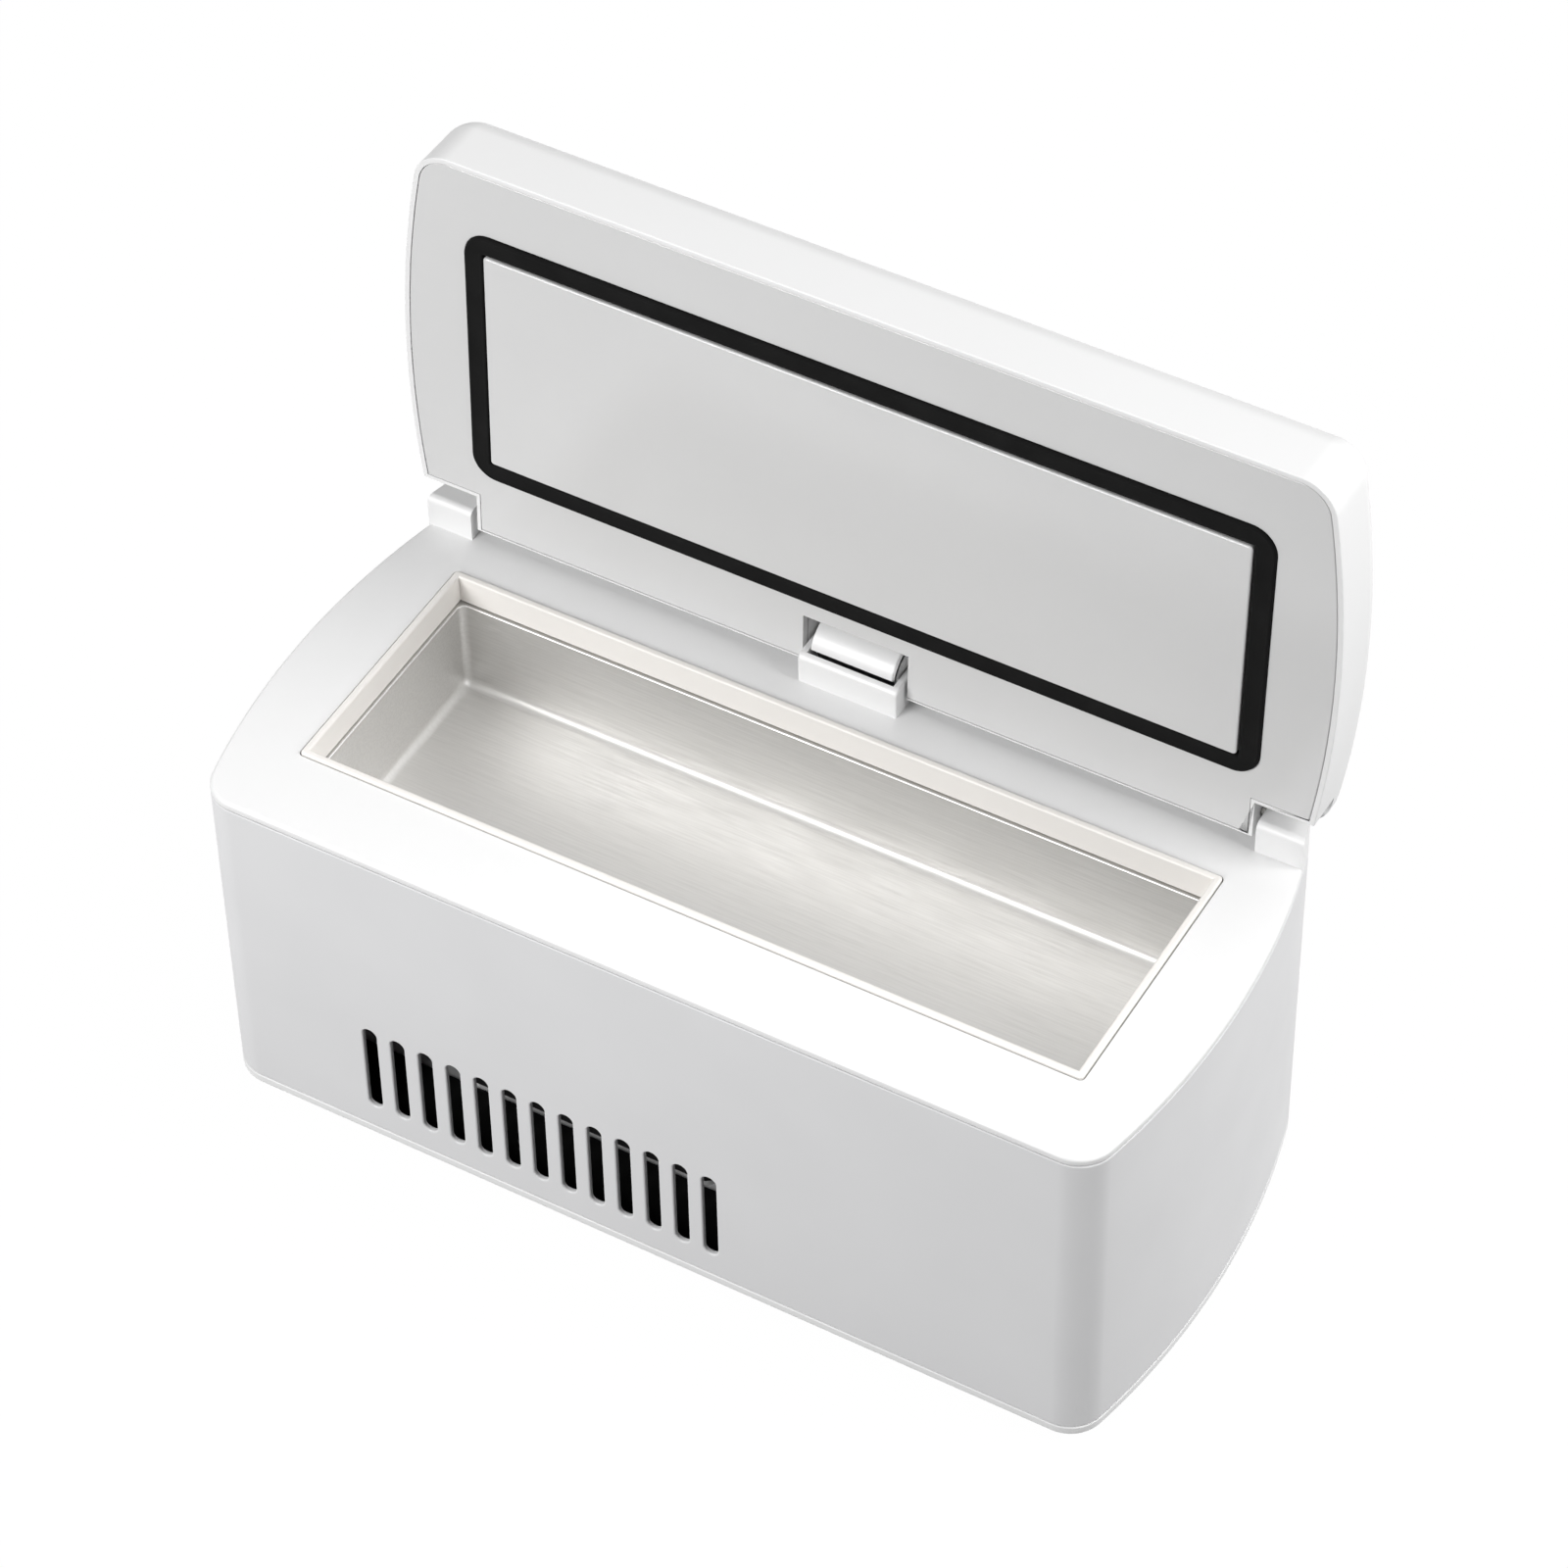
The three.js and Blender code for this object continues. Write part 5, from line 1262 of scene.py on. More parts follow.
@dataclass(frozen=True)
class HingeBlocks:
    """The end blocks and the slotted middle block that stand on the deck."""

    deck_top: float
    end_x: float = 88.0
    end_width: float = 10.5
    end_depth: float = 5.3
    end_height: float = 7.6
    centre_half: float = 11.1
    centre_depth: float = 7.8
    centre_height: float = 7.2
    centre_lip: float = 1.4
    cheek: float = 1.4
    knuckle: float = 3.2
    round: float = 1.6
    pin_bore: float = 1.3
    edge: float = 0.45

    def _profile(self, depth: float, height: float) -> list[Point]:
        """Side view of a block: round top edge in front, knuckle behind."""
        front, rear = HINGE.y - depth, HINGE.y + self.knuckle
        low, top = self.deck_top - OVERRUN, self.deck_top + height
        points = [(front, low), (rear, low)]
        points += arc(rear - self.round, top - self.round, self.round, 0, QUARTER, EDGE_STEPS)
        points += arc(front + self.round, top - self.round, self.round, QUARTER, HALF_TURN, EDGE_STEPS)
        return points

    def _block(self, name: str, depth: float, height: float, span: Span) -> bpy.types.Object:
        """Block with its upright edges rounded, trimmed to the plan of the case."""
        piece = prism(name, self._profile(depth, height), span, Axis.X)
        bounds = prism("bounds", case_plan().outline(0.05), (self.deck_top - 2 * OVERRUN, self.deck_top + 20))
        shape(piece, Cut.KEEP, bounds)
        return soften(piece, self.edge, 4)

    def join_to(self, deck: bpy.types.Object) -> None:
        """Stands the blocks on the deck."""
        spans = {
            "left_block": (-self.end_x - self.end_width, -self.end_x),
            "right_block": (self.end_x, self.end_x + self.end_width),
        }
        blocks = [self._block(name, self.end_depth, self.end_height, span) for name, span in spans.items()]
        span = (-self.centre_half, self.centre_half)
        blocks.append(self._block("centre_block", self.centre_depth, self.centre_height, span))
        shape(deck, Cut.JOIN, *blocks)

    def cut(self, deck: bpy.types.Object) -> None:
        """Cuts the cable slot and the pin bores."""
        slot_half = self.centre_half - self.cheek
        front = HINGE.y - self.centre_depth + self.centre_lip
        room = block("cable_slot", (-slot_half, slot_half), (front, HINGE.y + 20), (self.deck_top, self.deck_top + 20))
        ribbon = box_of("ribbon_cable")
        ribbon_y = ribbon.low.y
        gap = block(
            "ribbon_gap", (-slot_half, slot_half), (ribbon_y - CLEARANCE, ribbon_y + 0.5 + CLEARANCE),
            (self.deck_top - 5.0, self.deck_top + OVERRUN),
        )
        pins = [box_of("hinge_pin_left"), box_of("hinge_pin_right")]
        bores = [
            rod("pin_bore", self.pin_bore, (HINGE.y, HINGE.z), self._bore(pin), Axis.X, sides=SMALL_SIDES)
            for pin in pins
        ]
        shape(deck, Cut.AWAY, room, gap, *bores)

    @staticmethod
    def _bore(pin: Box) -> Span:
        """Length of a pin's bore, with a little room behind its outer end."""
        if pin.centre.x < 0:
            return pin.low.x - CLEARANCE, pin.high.x
        return pin.low.x, pin.high.x + CLEARANCE


@dataclass(frozen=True)
class Compartment:
    """Rim collar and the cold tank under it."""

    deck_step: float = 1.8
    flange: float = 4.0
    rim_corner: float = 0.8
    rim_proud: float = 0.6
    collar_wall: float = 1.5
    bead_round: float = 0.45
    tank_wall: float = 1.2
    tank_corner: float = 1.6
    tank_step: float = 0.5
    tank_flange: float = 3.0
    floor_round: float = 2.0
    lip_round: float = 0.3

    def build(self) -> None:
        """Builds and dresses the collar and the tank."""
        self.rim_collar()
        self.cold_tank()

    def rim_half(self) -> Point:
        """Half size of the rim's outer edge."""
        box = box_of("rim_collar")
        return box.half.x - self.flange, box.half.y - self.flange

    def _ring(self, inset: float, z: float, corner: float) -> Ring:
        """Outline of the rim drawn in by an inset."""
        half_x, half_y = self.rim_half()
        centre = box_of("rim_collar").centre
        radius = max(corner - inset, LEAST_RADIUS)
        return rounded_rectangle(half_x - inset, half_y - inset, radius, 0, centre.y), z

    def rim_collar(self) -> None:
        """Raised white rim and the upper part of the compartment wall."""
        box = box_of("rim_collar")
        flange_top = box_of("side_wall").high.z - self.deck_step
        steps = quarter_round(self.bead_round)
        rings = [self._ring(-self.flange, box.low.z, 0), self._ring(-self.flange, flange_top, 0)]
        rings += [self._ring(0, flange_top, self.rim_corner)]
        rings += [self._ring(inset, box.high.z - drop, self.rim_corner) for inset, drop in steps]
        inner = self.collar_wall
        rings += [self._ring(inner - inset, box.high.z - drop, self.rim_corner) for inset, drop in reversed(steps)]
        rings += [self._ring(inner, box.low.z + self.lip_round, self.rim_corner)]
        rings += [self._ring(inner - self.lip_round, box.low.z, self.rim_corner)]
        finish(loft("rim_collar_bead", rings, closed=True), "case", Slot.LINER, "rim_collar")

    def cold_tank(self) -> None:
        """Drawn aluminium tank with a rolled lip and a round floor edge."""
        box = box_of("cold_tank")
        inner = self.collar_wall + self.tank_step
        outer = inner - self.tank_wall
        lip = outer - self.tank_flange
        corner = self.tank_corner + inner
        floor = box.low.z + self.tank_wall
        rings = [
            self._ring(outer + inset, box.low.z + drop, corner)
            for inset, drop in reversed(quarter_round(self.floor_round))
        ]
        rings += [self._ring(outer, box.high.z - self.tank_wall, corner)]
        rings += [self._ring(lip, box.high.z - self.tank_wall, corner), self._ring(lip, box.high.z, corner)]
        rings += [
            self._ring(inner - inset, box.high.z - drop, corner)
            for inset, drop in reversed(quarter_round(self.lip_round, 4))
        ]
        rings += [
            self._ring(inner + inset, floor + drop, corner)
            for inset, drop in quarter_round(self.floor_round)
        ]
        finish(loft("drawn_tank", rings), "case", Slot.TANK, "cold_tank")


def lid_plan() -> Plan:
    """Plan of the lid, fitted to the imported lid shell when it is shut."""
    lid, case = HINGE.shut_box("lid_shell"), case_plan()
    front, rear = case.centre_y - lid.low.y, lid.high.y - case.centre_y
    return Plan(
        half_length=lid.half.x, centre_y=case.centre_y, front=front, rear=rear,
        end_radius=240.0, bow_shift=2.5, front_corner=8.0, rear_corner=8.0,
    )


@dataclass(frozen=True)
class Lid:
    """Lid shell, inner panel, seal, plug panel, barrel and display."""

    edge_round: float = 6.5
    wall: float = 2.2
    land: float = 1.1
    hinge_land: float = 0.5
    panel_gap: float = 0.12
    notch_frame: float = 0.8
    notch_reach: float = 5.0
    cuts: tuple[float, ...] = (-84.0, -60.0, -23.4, 23.4, 60.0, 84.0)
    roof_rise: float = 0.22
    panel_thickness: float = 2.0
    panel_pocket: float = 1.2
    gasket_band: float = 4.2
    gasket_corner: float = 5.5
    gasket_gap: float = 0.1
    pocket_edge: float = 0.2
    plug_proud: float = 1.0
    plug_chamfer: float = 0.5
    notch_wall: float = 1.2
    notch_bearing: float = 5.0
    end_notch_x: float = 86.9
    end_notch_gap: float = 5.65
    centre_notch_x: float = 11.7
    centre_notch_gap: float = 8.15
    notch_rise: float = 4.3
    hood_wall: float = 0.9
    hood_reach: float = math.radians(79.5)
    hood_end: float = 0.6
    wrap_reach: float = math.radians(134)
    cable_thickness: float = 0.5
    button_radius: float = 5.5

    def build(self) -> None:
        """Builds and dresses every piece of the lid."""
        self.shell()
        self.panel()
        self.gasket()
        self.plug()
        self.barrel()
        self.cable_wrap()
        self.window()
        self.lcd()
        self.button("power_button", "power_key")
        self.button("set_button", "set_key")

    @property
    def face(self) -> float:
        """Height of the lid's lower face when it is shut."""
        return HINGE.shut_box("lid_shell").low.z

    @property
    def top(self) -> float:
        """Height of the lid's outer face when it is shut."""
        return HINGE.shut_box("lid_shell").high.z

    def notches(self, low: float, grow: float = 0.0, bearing: float = 0.0) -> list[bpy.types.Object]:
        """Blocks for the three notches.

        Args:
            low: where the blocks start below.
            grow: width added above and in front, and beside the middle notch.
            bearing: width added beside the end notches, where the pins turn.

        Returns:
            The left, right and middle block.
        """
        return [*self.end_notches(low, grow, bearing), self.middle_notch(low, grow)]

    def end_notches(self, low: float, grow: float, bearing: float) -> list[bpy.types.Object]:
        """Blocks for the left and right notch, grown as in notches()."""
        y, z = self._notch_spans(low, grow, self.end_notch_gap)
        near, far = self.end_notch_x - bearing, lid_plan().half_length + self.notch_reach
        return [block("notch_left", (-far, -near), y, z), block("notch_right", (near, far), y, z)]

    def middle_notch(self, low: float, grow: float = 0.0) -> bpy.types.Object:
        """Block for the middle notch, grown as in notches()."""
        half = self.centre_notch_x + grow
        return block("notch_middle", (-half, half), *self._notch_spans(low, grow, self.centre_notch_gap))

    def _notch_spans(self, low: float, grow: float, gap: float) -> tuple[Span, Span]:
        """Spans of a notch in depth and height, from its gap in front of the hinge axis."""
        z = (low, HINGE.z + self.notch_rise + grow)
        return (HINGE.y - gap - grow, lid_plan().centre_y + lid_plan().rear + self.notch_reach), z

    def inner_plan(self) -> Plan:
        """Plan of the panel and its pocket, which leave a narrower land along the hinge."""
        plan = lid_plan()
        return replace(plan, rear=plan.rear + self.land - self.hinge_land)

    def shell(self) -> None:
        """Outer shell with its round edge, notches, window pocket and button holes."""
        plan, face, top = lid_plan(), self.face, self.top
        rings = [(plan.outline(inset), face + drop) for inset, drop in reversed(quarter_round(0.25, 3))]
        rings += [(plan.outline(inset), top - drop) for inset, drop in quarter_round(self.edge_round, 16)]
        piece = loft("lid_outer_shell", rings)
        inside = face + self.panel_thickness + CLEARANCE
        pocket = prism("panel_pocket", self.inner_plan().outline(self.land), (face - OVERRUN, inside))
        room = [(plan.outline(self.wall), face)]
        inner_round = self.edge_round - self.wall
        room += [
            (plan.outline(self.wall + inset), top - self.wall - drop)
            for inset, drop in quarter_round(inner_round)
        ]
        shape(piece, Cut.AWAY, pocket, loft("lid_room", room))
        walls = self.notches(inside, self.notch_wall, self.notch_bearing)
        walls += self.end_notches(face, self.notch_frame, self.notch_frame)
        hull = loft("hull", rings)
        for wall in walls:
            shape(wall, Cut.KEEP, self._copy(hull))
        remove([hull])
        shape(piece, Cut.JOIN, *walls)
        shape(piece, Cut.AWAY, *self.notches(face - OVERRUN))
        window = HINGE.shut_box("display_window")
        tools = [self._window_tool(window, top), self._sight_tool(window, top)]
        for node in ("power_button", "set_button"):
            key = HINGE.shut_box(node)
            mouth = SlotMouth(2 * self.button_radius + 2 * CLEARANCE, 2 * self.button_radius + 2 * CLEARANCE, 0.35)
            tools.append(mouth.tool(f"{node}_hole", (key.centre.x, key.centre.y), top, -self.wall - OVERRUN, Axis.Z))
        for pin in (box_of("hinge_pin_left"), box_of("hinge_pin_right")):
            span = (pin.low.x - CLEARANCE, pin.high.x + CLEARANCE)
            tools.append(rod("pin_bore", 1.3, (HINGE.y, HINGE.z), span, Axis.X, sides=SMALL_SIDES))
        shape(piece, Cut.AWAY, *tools)
        divide(soften(piece, 0.2), *self.cuts)
        finish(piece, "lid", Slot.WHITE, "lid_shell")

    @staticmethod
    def _copy(piece: bpy.types.Object) -> bpy.types.Object:
        """Copy of a helper object, with its own mesh."""
        twin = bpy.data.objects.new(f"{piece.name}_copy", piece.data.copy())
        bpy.context.scene.collection.objects.link(twin)
        return twin

    def _window_tool(self, window: Box, top: float) -> bpy.types.Object:
        """Pocket for the display window."""
        half = (window.half.x + CLEARANCE, window.half.y + CLEARANCE)
        outline = rounded_rectangle(*half, 3.5 + CLEARANCE, 0, window.centre.y)
        return prism("window_pocket", outline, (window.low.z - CLEARANCE, top + OVERRUN))

    def _sight_tool(self, window: Box, top: float) -> bpy.types.Object:
        """Opening under the display window."""
        ledge = 2.5
        half = (window.half.x - ledge, window.half.y - ledge)
        outline = rounded_rectangle(*half, 0.5, 0, window.centre.y)
        return prism("window_opening", outline, (top - self.wall - OVERRUN, top))

    def panel(self) -> None:
        """Glossy inner panel, with a pocket that the seal sits in."""
        plan, box = self.inner_plan(), HINGE.shut_box("lid_panel")
        inset = self.land + self.panel_gap
        rings = [(plan.outline(inset + step), box.low.z + drop) for step, drop in reversed(quarter_round(0.3, 4))]
        rings += [(plan.outline(inset), box.high.z)]
        piece = loft("lid_inner_panel", rings)
        gasket = HINGE.shut_box("lid_gasket")
        gap, edge = self.gasket_gap, self.pocket_edge
        half = (gasket.half.x + gap, gasket.half.y + gap)
        corner = self.gasket_corner + gap
        pocket: list[Ring] = []
        pocket.append((rounded_rectangle(*half, corner, 0, gasket.centre.y), box.low.z + self.panel_pocket))
        for grow, rise in quarter_round(edge):
            outline = rounded_rectangle(half[0] + grow, half[1] + grow, corner + grow, 0, gasket.centre.y)
            pocket.append((outline, box.low.z + rise))
        wide = rounded_rectangle(half[0] + edge, half[1] + edge, corner + edge, 0, gasket.centre.y)
        pocket.append((wide, box.low.z - OVERRUN))
        shape(piece, Cut.AWAY, loft("seal_pocket", pocket))
        frame = self.notch_frame + self.panel_gap
        low = box.low.z - OVERRUN
        shape(piece, Cut.AWAY, *self.end_notches(low, frame, frame), self.middle_notch(low))
        divide(soften(piece, 0.12, 2), *self.cuts)
        finish(piece, "lid", Slot.PANEL, "lid_panel")

    def gasket(self) -> None:
        """Rubber seal: a flat band with a raised lip along each edge."""
        box = HINGE.shut_box("lid_gasket")
        low, high, band = box.low.z, box.high.z, self.gasket_band
        lip, groove = 0.7, 0.18
        profile = [
            (0.0, high), (0.0, low + 0.35), (0.1, low + 0.12), (0.3, low), (lip, low + 0.02),
            (lip + 0.25, low + groove), (band - lip - 0.25, low + groove), (band - lip, low + 0.02),
            (band - 0.3, low), (band - 0.1, low + 0.12), (band, low + 0.35), (band, high),
        ]
        rings = []
        for inset, z in profile:
            corner = max(self.gasket_corner - inset * self.gasket_corner / band, 0.25)
            half = (box.half.x - inset, box.half.y - inset)
            rings.append((rounded_rectangle(*half, corner, 0, box.centre.y), z))
        finish(loft("lid_seal", rings, closed=True), "lid", Slot.RUBBER, "lid_gasket")

    def plug(self) -> None:
        """Raised glossy panel inside the seal."""
        box = HINGE.shut_box("lid_plug")
        rings: list[Ring] = []
        for inset, drop in reversed(quarter_round(self.plug_chamfer)):
            half = (box.half.x - inset, box.half.y - inset)
            rings.append((rounded_rectangle(*half, 0.8 - inset, 0, box.centre.y), box.low.z + drop))
        rings.append((rounded_rectangle(box.half.x, box.half.y, 0.8, 0, box.centre.y), box.high.z))
        finish(loft("lid_plug_panel", rings), "lid", Slot.PANEL, "lid_plug")

    def barrel(self) -> None:
        """Barrel about the hinge axis, with a hood over where the flat cable enters the lid."""
        box = HINGE.shut_box("cable_cover")
        hood, core = HINGE.y - box.low.y, box.high.y - HINGE.y
        tip = HALF_TURN + self.hood_reach
        pocket = HALF_TURN + CLEARANCE / core
        roof = box.high.z + self.roof_rise
        outer = [(box.low.y, roof)] + arc(HINGE.y, HINGE.z, hood, HALF_TURN, tip, ROUND_SIDES // 2)
        outline = list(outer)
        outline += arc(HINGE.y, HINGE.z, hood - self.hood_wall, tip, pocket, ROUND_SIDES // 2)
        outline += arc(HINGE.y, HINGE.z, core, pocket, 2 * HALF_TURN, ROUND_SIDES)
        outline += [(box.high.y, roof)]
        piece = prism("hinge_barrel", outline, (box.low.x, box.high.x), Axis.X)
        cheek = outer + arc(HINGE.y, HINGE.z, core, tip, 2 * HALF_TURN, ROUND_SIDES) + [(box.high.y, roof)]
        ends = [(box.low.x, box.low.x + self.hood_end), (box.high.x - self.hood_end, box.high.x)]
        shape(piece, Cut.JOIN, *(prism("barrel_end", cheek, span, Axis.X) for span in ends))
        soften(piece, 0.3, 3)
        finish(piece, "lid", Slot.WHITE, "cable_cover")

    def cable_wrap(self) -> None:
        """Stretch of the flat cable that winds on the barrel and turns with the lid."""
        barrel, wrap = HINGE.shut_box("cable_cover"), HINGE.shut_box("cable_wrap")
        inner = barrel.high.y - HINGE.y + CLEARANCE
        outer = inner + self.cable_thickness
        start, end = HALF_TURN + 2 * CLEARANCE / inner, HALF_TURN + self.wrap_reach
        outline = arc(HINGE.y, HINGE.z, outer, start, end, ROUND_SIDES)
        outline += arc(HINGE.y, HINGE.z, inner, end, start, ROUND_SIDES)
        piece = prism("wound_cable", outline, (wrap.low.x, wrap.high.x), Axis.X)
        soften(piece, 0.1, 2)
        finish(piece, "lid", Slot.BLACK, "cable_wrap", finish_name=FLAT_CABLE)

    def window(self) -> None:
        """Smoked window over the display."""
        box = HINGE.shut_box("display_window")
        rings: list[Ring] = [(rounded_rectangle(box.half.x, box.half.y, 3.5, 0, box.centre.y), box.low.z)]
        for inset, drop in quarter_round(0.3, 4):
            half = (box.half.x - inset, box.half.y - inset)
            rings.append((rounded_rectangle(*half, 3.5 - inset, 0, box.centre.y), box.high.z - drop))
        finish(loft("smoked_window", rings), "lid", Slot.WINDOW, "display_window")

    def lcd(self) -> None:
        """Display module: a black frame round the pale green-grey cell."""
        box = HINGE.shut_box("lcd_panel")
        border, recess = 2.6, 0.4
        outer = rounded_rectangle(box.half.x, box.half.y, 0.6, 0, box.centre.y)
        inner = rounded_rectangle(box.half.x - border, box.half.y - border, 0.4, 0, box.centre.y)
        rings = [(outer, box.low.z), (outer, box.high.z), (inner, box.high.z), (inner, box.high.z - recess)]
        finish(loft("lcd_frame", rings), "lid", Slot.BLACK, "lcd_panel")
        cell = rounded_rectangle(box.half.x - border - 0.1, box.half.y - border - 0.1, 0.3, 0, box.centre.y)
        glass = prism("lcd_cell", cell, (box.high.z - recess + 0.02, box.high.z - 0.1))
        finish(glass, "lid", Slot.WINDOW, finish_name=LCD_CELL)

    def button(self, node: str, body: str) -> None:
        """Push button with a dished top and a thin skirt.

        Args:
            node: packed button that it stands for.
            body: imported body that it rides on.
        """
        box = HINGE.shut_box(node)
        radius, dish = self.button_radius, 0.35
        flange = box.half.x
        middle = (box.centre.x, box.centre.y)
        profile = [(flange, box.low.z), (flange, box.low.z + 1.0), (radius, box.low.z + 1.0)]
        profile += [(radius - inset, box.high.z - drop) for inset, drop in quarter_round(0.5)]
        bowl = radius - 0.5
        profile += [
            (bowl * (1 - step / 8), box.high.z - dish * (1 - (1 - step / 8) ** 2)) for step in range(1, 8)
        ]
        rings = [(arc(*middle, size, 0, 2 * HALF_TURN, ROUND_SIDES)[:-1], z) for size, z in profile]
        finish(loft(f"{node}_cap", rings), body, Slot.SILVER_AND_SHADE, node)


@dataclass(frozen=True)
class Cooling:
    """Heat sink, fan, thermoelectric module and their fixings."""

    fin_count: int = 15
    fin_thickness: float = 1.3
    sink_base: float = 4.0
    blade_count: int = 7
    blade_chord: float = 13.0
    blade_thickness: float = 0.9
    blade_pitch: float = math.radians(36)
    hub_radius: float = 12.5
    shaft_room: float = 1.7
    shaft_depth: float = 4.3

    def build(self) -> None:
        """Builds and dresses every piece of the cold side."""
        self.heat_sink()
        self.rotor()
        self.clamp_screws()
        dress(Slot.BLACK, "fan_frame", "temperature_sensor")
        dress(Slot.TANK, "cold_spacer")
        dress(Slot.CERAMIC, "thermoelectric_module")
        dress(Slot.FOAM, "foam_jacket", "lid_foam")

    def heat_sink(self) -> None:
        """Extruded heat sink: a plate with upright fins below it."""
        box = box_of("heat_sink")
        x, y = (box.low.x, box.high.x), (box.low.y, box.high.y)
        plate = block("finned_heat_sink", x, y, (box.high.z - self.sink_base, box.high.z))
        fin = block("fin", (box.low.x, box.low.x + self.fin_thickness), y, (box.low.z, box.high.z - 2.0))
        step = Vector(((2 * box.half.x - self.fin_thickness) / (self.fin_count - 1), 0, 0))
        shape(plate, Cut.JOIN, Repeat("fins").row(fin, self.fin_count, step, Slot.ANODISED))
        rooms = []
        for node in ("clamp_screw_left", "clamp_screw_right"):
            screw = box_of(node)
            middle = (screw.centre.x, screw.centre.y)
            rooms.append(rod("head_room", screw.half.x + CLEARANCE, middle, (0, box.high.z - self.sink_base)))
            rooms.append(rod("shank_room", 1.8, middle, (box.low.z, box.high.z + OVERRUN), sides=SMALL_SIDES))
        shape(plate, Cut.AWAY, *rooms)
        soften(plate, 0.15, 2)
        finish(plate, "case", Slot.ANODISED, "heat_sink")

    def rotor(self) -> None:
        """Fan rotor with curved blades round a domed hub."""
        box = box_of("fan_rotor")
        centre = Vector((box_of("fan_frame").centre.x, box_of("fan_frame").centre.y, 0))
        tip = box.half.x
        tip = min(tip, 27.6)
        middle, half = box.centre.z, box.half.z
        rings: list[Ring] = []
        steps = 10
        for step in range(steps + 1):
            share = step / steps
            radius = self.hub_radius * 0.9 + (tip - self.hub_radius * 0.9) * share
            pitch = self.blade_pitch * (1.15 - 0.35 * share)
            reach = min(self.blade_chord / 2 * (0.8 + 0.2 * share), (half - 0.5) / math.sin(pitch))
            rings.append((self._blade_section(pitch, reach, 2.2 * share, middle), radius))
        blade = loft("blade", rings, Axis.X)
        blade.data.transform(Matrix.Translation(centre))
        blades = Repeat("blades").ring(blade, self.blade_count, centre, Slot.BLACK)
        profile = [(self.hub_radius, box.low.z)]
        profile += [(self.hub_radius - inset, box.high.z - drop) for inset, drop in quarter_round(1.2)]
        outline = [
            (arc(centre.x, centre.y, size, 0, 2 * HALF_TURN, ROUND_SIDES)[:-1], z) for size, z in profile
        ]
        piece = loft("fan_impeller", outline)
        shape(piece, Cut.JOIN, blades)
        room = (box.low.z - OVERRUN, box.low.z + self.shaft_depth)
        shape(piece, Cut.AWAY, rod("shaft_room", self.shaft_room, (centre.x, centre.y), room, sides=SMALL_SIDES))
        finish(piece, "fan", Slot.BLACK, "fan_rotor")

    def _blade_section(self, pitch: float, reach: float, sweep: float, middle: float) -> list[Point]:
        """Section of a blade across its radius, as a thin curved wing."""
        camber, points_across = 0.9, 8
        thick = self.blade_thickness / 2
        upper, lower = [], []
        for step in range(points_across + 1):
            along = -reach + 2 * reach * step / points_across
            bow = camber * (1 - (along / reach) ** 2)
            taper = thick * (0.35 + 0.65 * math.sqrt(max(0.0, 1 - (along / reach) ** 2)))
            for points, side in ((upper, taper), (lower, -taper)):
                y = sweep + along * math.cos(pitch) - (bow + side) * math.sin(pitch)
                z = middle + along * math.sin(pitch) + (bow + side) * math.cos(pitch) - camber / 2
                points.append((y, z))
        return upper + lower[::-1]

    @staticmethod
    def clamp_screws() -> None:
        """Screws that clamp the heat sink to the cold spacer."""
        pieces = []
        for node in ("clamp_screw_left", "clamp_screw_right"):
            box = box_of(node)
            middle = (box.centre.x, box.centre.y)
            low, head, shank = box.low.z, 1.8, 1.5
            rings = [(box.half.x - inset, low + drop) for inset, drop in reversed(quarter_round(0.5))]
            rings += [(box.half.x, low + head), (shank, low + head), (shank, box.high.z - 0.5)]
            rings += [(shank * 0.6, box.high.z)]
            outline = [(arc(*middle, size, 0, 2 * HALF_TURN, SMALL_SIDES)[:-1], z) for size, z in rings]
            screw = loft("clamp_screws", outline)
            slit = block("slit", (middle[0] - 1.6, middle[0] + 1.6), (middle[1] - 0.4, middle[1] + 0.4), (low - OVERRUN, low + 0.7))
            pieces.append(shape(screw, Cut.AWAY, slit))
        finish(merge(pieces), "case", Slot.STEEL, "clamp_screw_left", "clamp_screw_right")


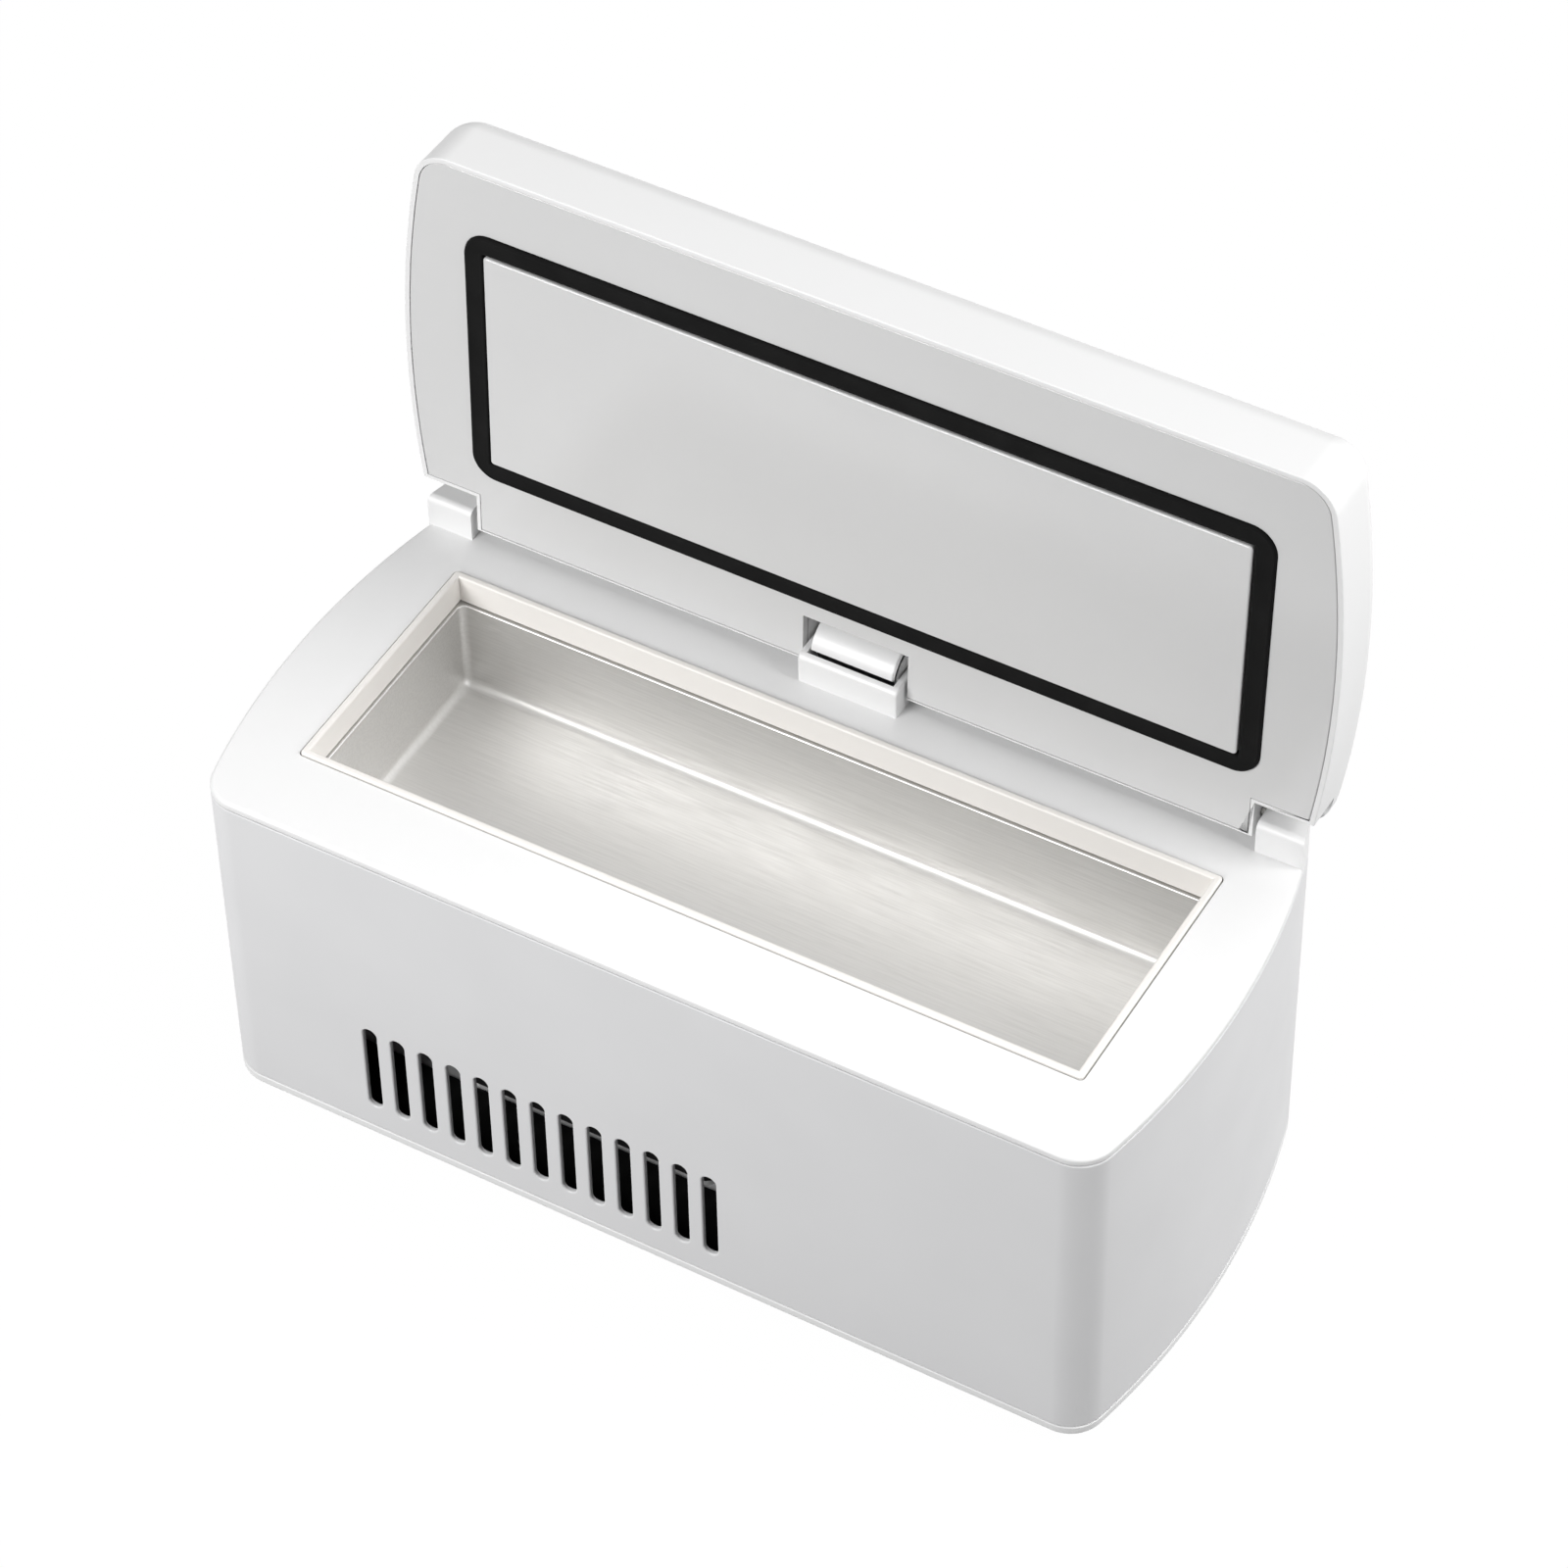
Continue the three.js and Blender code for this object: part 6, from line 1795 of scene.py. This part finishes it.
@dataclass(frozen=True)
class Power:
    """Battery cells, control board, charging jack and wiring."""

    cap_radius: float = 3.0
    cap_height: float = 1.2
    cell_edge: float = 0.8
    barrel_radius: float = 4.2
    socket_radius: float = 2.8
    socket_depth: float = 9.5
    body_depth: float = 13.0

    def build(self) -> None:
        """Builds and dresses every piece of the power side."""
        for number in (1, 2, 3):
            self.cell(f"battery_cell_{number}")
        self.jack()
        dress(Slot.BLACK, "battery_cradle", "power_switch", "set_switch")
        dress(Slot.BOARD, "control_board", "display_board")
        dress(Slot.BLACK, "ribbon_cable", finish_name=FLAT_CABLE)
        dress(Slot.STEEL, "deck_magnet_left", "deck_magnet_right", "lid_magnet_left", "lid_magnet_right")
        dress(Slot.STEEL, "hinge_pin_left", "hinge_pin_right")

    def cell(self, node: str) -> None:
        """Round cell in its sleeve, with a steel cap.

        Args:
            node: packed cell that it stands for.
        """
        box = box_of(node)
        radius, middle = box.half.x, (box.centre.x, box.centre.z)
        shoulder = box.high.y - self.cap_height
        profile = [(radius - inset, box.low.y + drop) for inset, drop in reversed(quarter_round(self.cell_edge))]
        groove = shoulder - 3.0
        profile += [(radius, groove - 0.8), (radius - 0.35, groove), (radius, groove + 0.8)]
        profile += [(radius - inset, shoulder - drop) for inset, drop in quarter_round(self.cell_edge)]
        profile += [(self.cap_radius + 1.6, shoulder), (self.cap_radius + 1.4, shoulder - 0.3)]
        rings = [(arc(*middle, size, 0, 2 * HALF_TURN, ROUND_SIDES)[:-1], y) for size, y in profile]
        finish(loft(f"{node}_sleeve", rings, Axis.Y), "case", Slot.WRAP, node)
        cap = rod(f"{node}_cap", self.cap_radius, middle, (shoulder - 0.25, box.high.y), Axis.Y, 0.4)
        finish(cap, "case", Slot.STEEL)

    def jack(self) -> None:
        """Charging jack: a black socket with a steel centre pin."""
        box = box_of("dc_jack")
        body_rear = box.low.y + self.body_depth
        piece = block("charging_socket", (box.low.x, box.high.x), (box.low.y, body_rear), (box.low.z, box.high.z))
        soften(piece, 0.4, 3)
        middle = (box.centre.x, box.centre.z)
        barrel = rod("barrel", self.barrel_radius, middle, (body_rear - OVERRUN, box.high.y), Axis.Y, 0.3)
        shape(piece, Cut.JOIN, barrel)
        mouth = SlotMouth(2 * self.socket_radius, 2 * self.socket_radius, 0.4)
        shape(piece, Cut.AWAY, mouth.tool("socket", middle, box.high.y, -self.socket_depth, Axis.Y))
        finish(piece, "case", Slot.BLACK, "dc_jack")
        pin = rod("socket_pin", 1.0, middle, (box.high.y - self.socket_depth + 0.05, box.high.y - 1.0), Axis.Y, 0.4, SMALL_SIDES)
        finish(pin, "case", Slot.STEEL)


@dataclass(frozen=True)
class Studio:
    """Camera, floor and soft light. Places are in metres."""

    eye: tuple[float, float, float] = (0.39703, -0.66829, 0.90979)
    aim: tuple[float, float, float] = (-0.01148, 0.02394, 0.06)
    roll: float = math.radians(-1.133)
    lens: float = 134.68
    floor_size: float = 12.0
    floor_colour: str = "#606060"
    floor_glow: float = 0.9
    floor_strength: float = 1.1
    world_strength: float = 0.22

    def build(self) -> None:
        """Sets up the whole stage."""
        self.camera()
        self.floor()
        self.world()
        self.light("top_softbox", (0.3, 0.42, 1.3), (0, 0, 0.05), (0.8, 0.8), 6.2)
        self.light("left_softbox", (-0.3, -0.7, 0.44), (-0.03, -0.02, 0.07), (0.4, 0.4), 6.4)
        self.light("right_softbox", (0.85, 0.2, 0.62), (0, 0, 0.06), (0.6, 0.6), 8.6)
        scene = bpy.context.scene
        scene.view_settings.view_transform = "Standard"

    def camera(self) -> None:
        """Camera with the photograph's angle, distance and lens."""
        data = bpy.data.cameras.new("camera")
        data.lens = self.lens
        data.sensor_width = 36.0
        camera = bpy.data.objects.new("camera", data)
        look = (Vector(self.aim) - Vector(self.eye)).to_track_quat("-Z", "Y").to_matrix().to_4x4()
        camera.matrix_world = Matrix.Translation(self.eye) @ look @ Matrix.Rotation(self.roll, 4, "Z")
        bpy.context.scene.collection.objects.link(camera)
        bpy.context.scene.camera = camera

    @staticmethod
    def _seen(tree: bpy.types.NodeTree) -> bpy.types.NodeSocket:
        """One for camera, glossy and transmission rays, and zero for others."""
        path = add_node(tree, "ShaderNodeLightPath").outputs
        first = add_node(
            tree, "ShaderNodeMath", {0: path["Is Camera Ray"], 1: path["Is Glossy Ray"]}, operation="MAXIMUM",
        )
        both = add_node(
            tree, "ShaderNodeMath", {0: first.outputs[0], 1: path["Is Transmission Ray"]}, operation="MAXIMUM",
        )
        return both.outputs[0]

    def floor(self) -> None:
        """Plain pale floor, white where it is seen from above and clear from below."""
        half = self.floor_size / 2
        mesh = bpy.data.meshes.new("floor")
        mesh.from_pydata([(-half, -half, 0), (half, -half, 0), (half, half, 0), (-half, half, 0)], [], [(0, 1, 2, 3)])
        floor = bpy.data.objects.new("floor", mesh)
        bpy.context.scene.collection.objects.link(floor)
        material = bpy.data.materials.new("plain_floor")
        material.use_nodes = True
        tree = material.node_tree
        tree.nodes.clear()
        diffuse = add_node(tree, "ShaderNodeBsdfDiffuse", {"Color": linear(self.floor_colour)})
        glow = add_node(tree, "ShaderNodeEmission", {"Strength": self.floor_strength})
        share = add_node(tree, "ShaderNodeMath", {0: self._seen(tree), 1: self.floor_glow}, operation="MULTIPLY")
        mix = add_node(
            tree, "ShaderNodeMixShader", {0: share.outputs[0], 1: diffuse.outputs[0], 2: glow.outputs[0]},
        )
        below = add_node(tree, "ShaderNodeNewGeometry").outputs["Backfacing"]
        clear = add_node(tree, "ShaderNodeBsdfTransparent")
        sides = add_node(tree, "ShaderNodeMixShader", {0: below, 1: mix.outputs[0], 2: clear.outputs[0]})
        add_node(tree, "ShaderNodeOutputMaterial", {"Surface": sides.outputs[0]})
        mesh.materials.append(material)

    def world(self) -> None:
        """Even white surroundings: plain strength as light, pure white where they are seen."""
        world = bpy.data.worlds.new("studio")
        world.use_nodes = True
        tree = world.node_tree
        tree.nodes.clear()
        strength = add_node(
            tree, "ShaderNodeMapRange", {"Value": self._seen(tree), "To Min": self.world_strength, "To Max": 1.0},
        )
        glow = add_node(tree, "ShaderNodeBackground", {"Strength": strength.outputs[0]})
        add_node(tree, "ShaderNodeOutputWorld", {"Surface": glow.outputs[0]})
        bpy.context.scene.world = world

    @staticmethod
    def light(
        name: str, place: Sequence[float], aim: Sequence[float], size: Point, power: float,
    ) -> None:
        """Rectangular softbox.

        Args:
            name: name of the lamp.
            place: where it hangs.
            aim: the point that it faces.
            size: its width and height.
            power: its power in watts.
        """
        data = bpy.data.lights.new(name, "AREA")
        data.shape = "RECTANGLE"
        data.size, data.size_y = size
        data.energy = power
        lamp = bpy.data.objects.new(name, data)
        turn = (Vector(aim) - Vector(place)).to_track_quat("-Z", "Y").to_matrix().to_4x4()
        lamp.matrix_world = Matrix.Translation(place) @ turn
        bpy.context.scene.collection.objects.link(lamp)


def main() -> None:
    """Builds the stage and every sub-assembly."""
    logging.basicConfig(level=logging.INFO, format="%(name)s %(message)s")
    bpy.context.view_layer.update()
    Studio().build()
    CaseShell().build()
    Compartment().build()
    Lid().build()
    Cooling().build()
    Power().build()


if __name__ == "__main__":
    main()
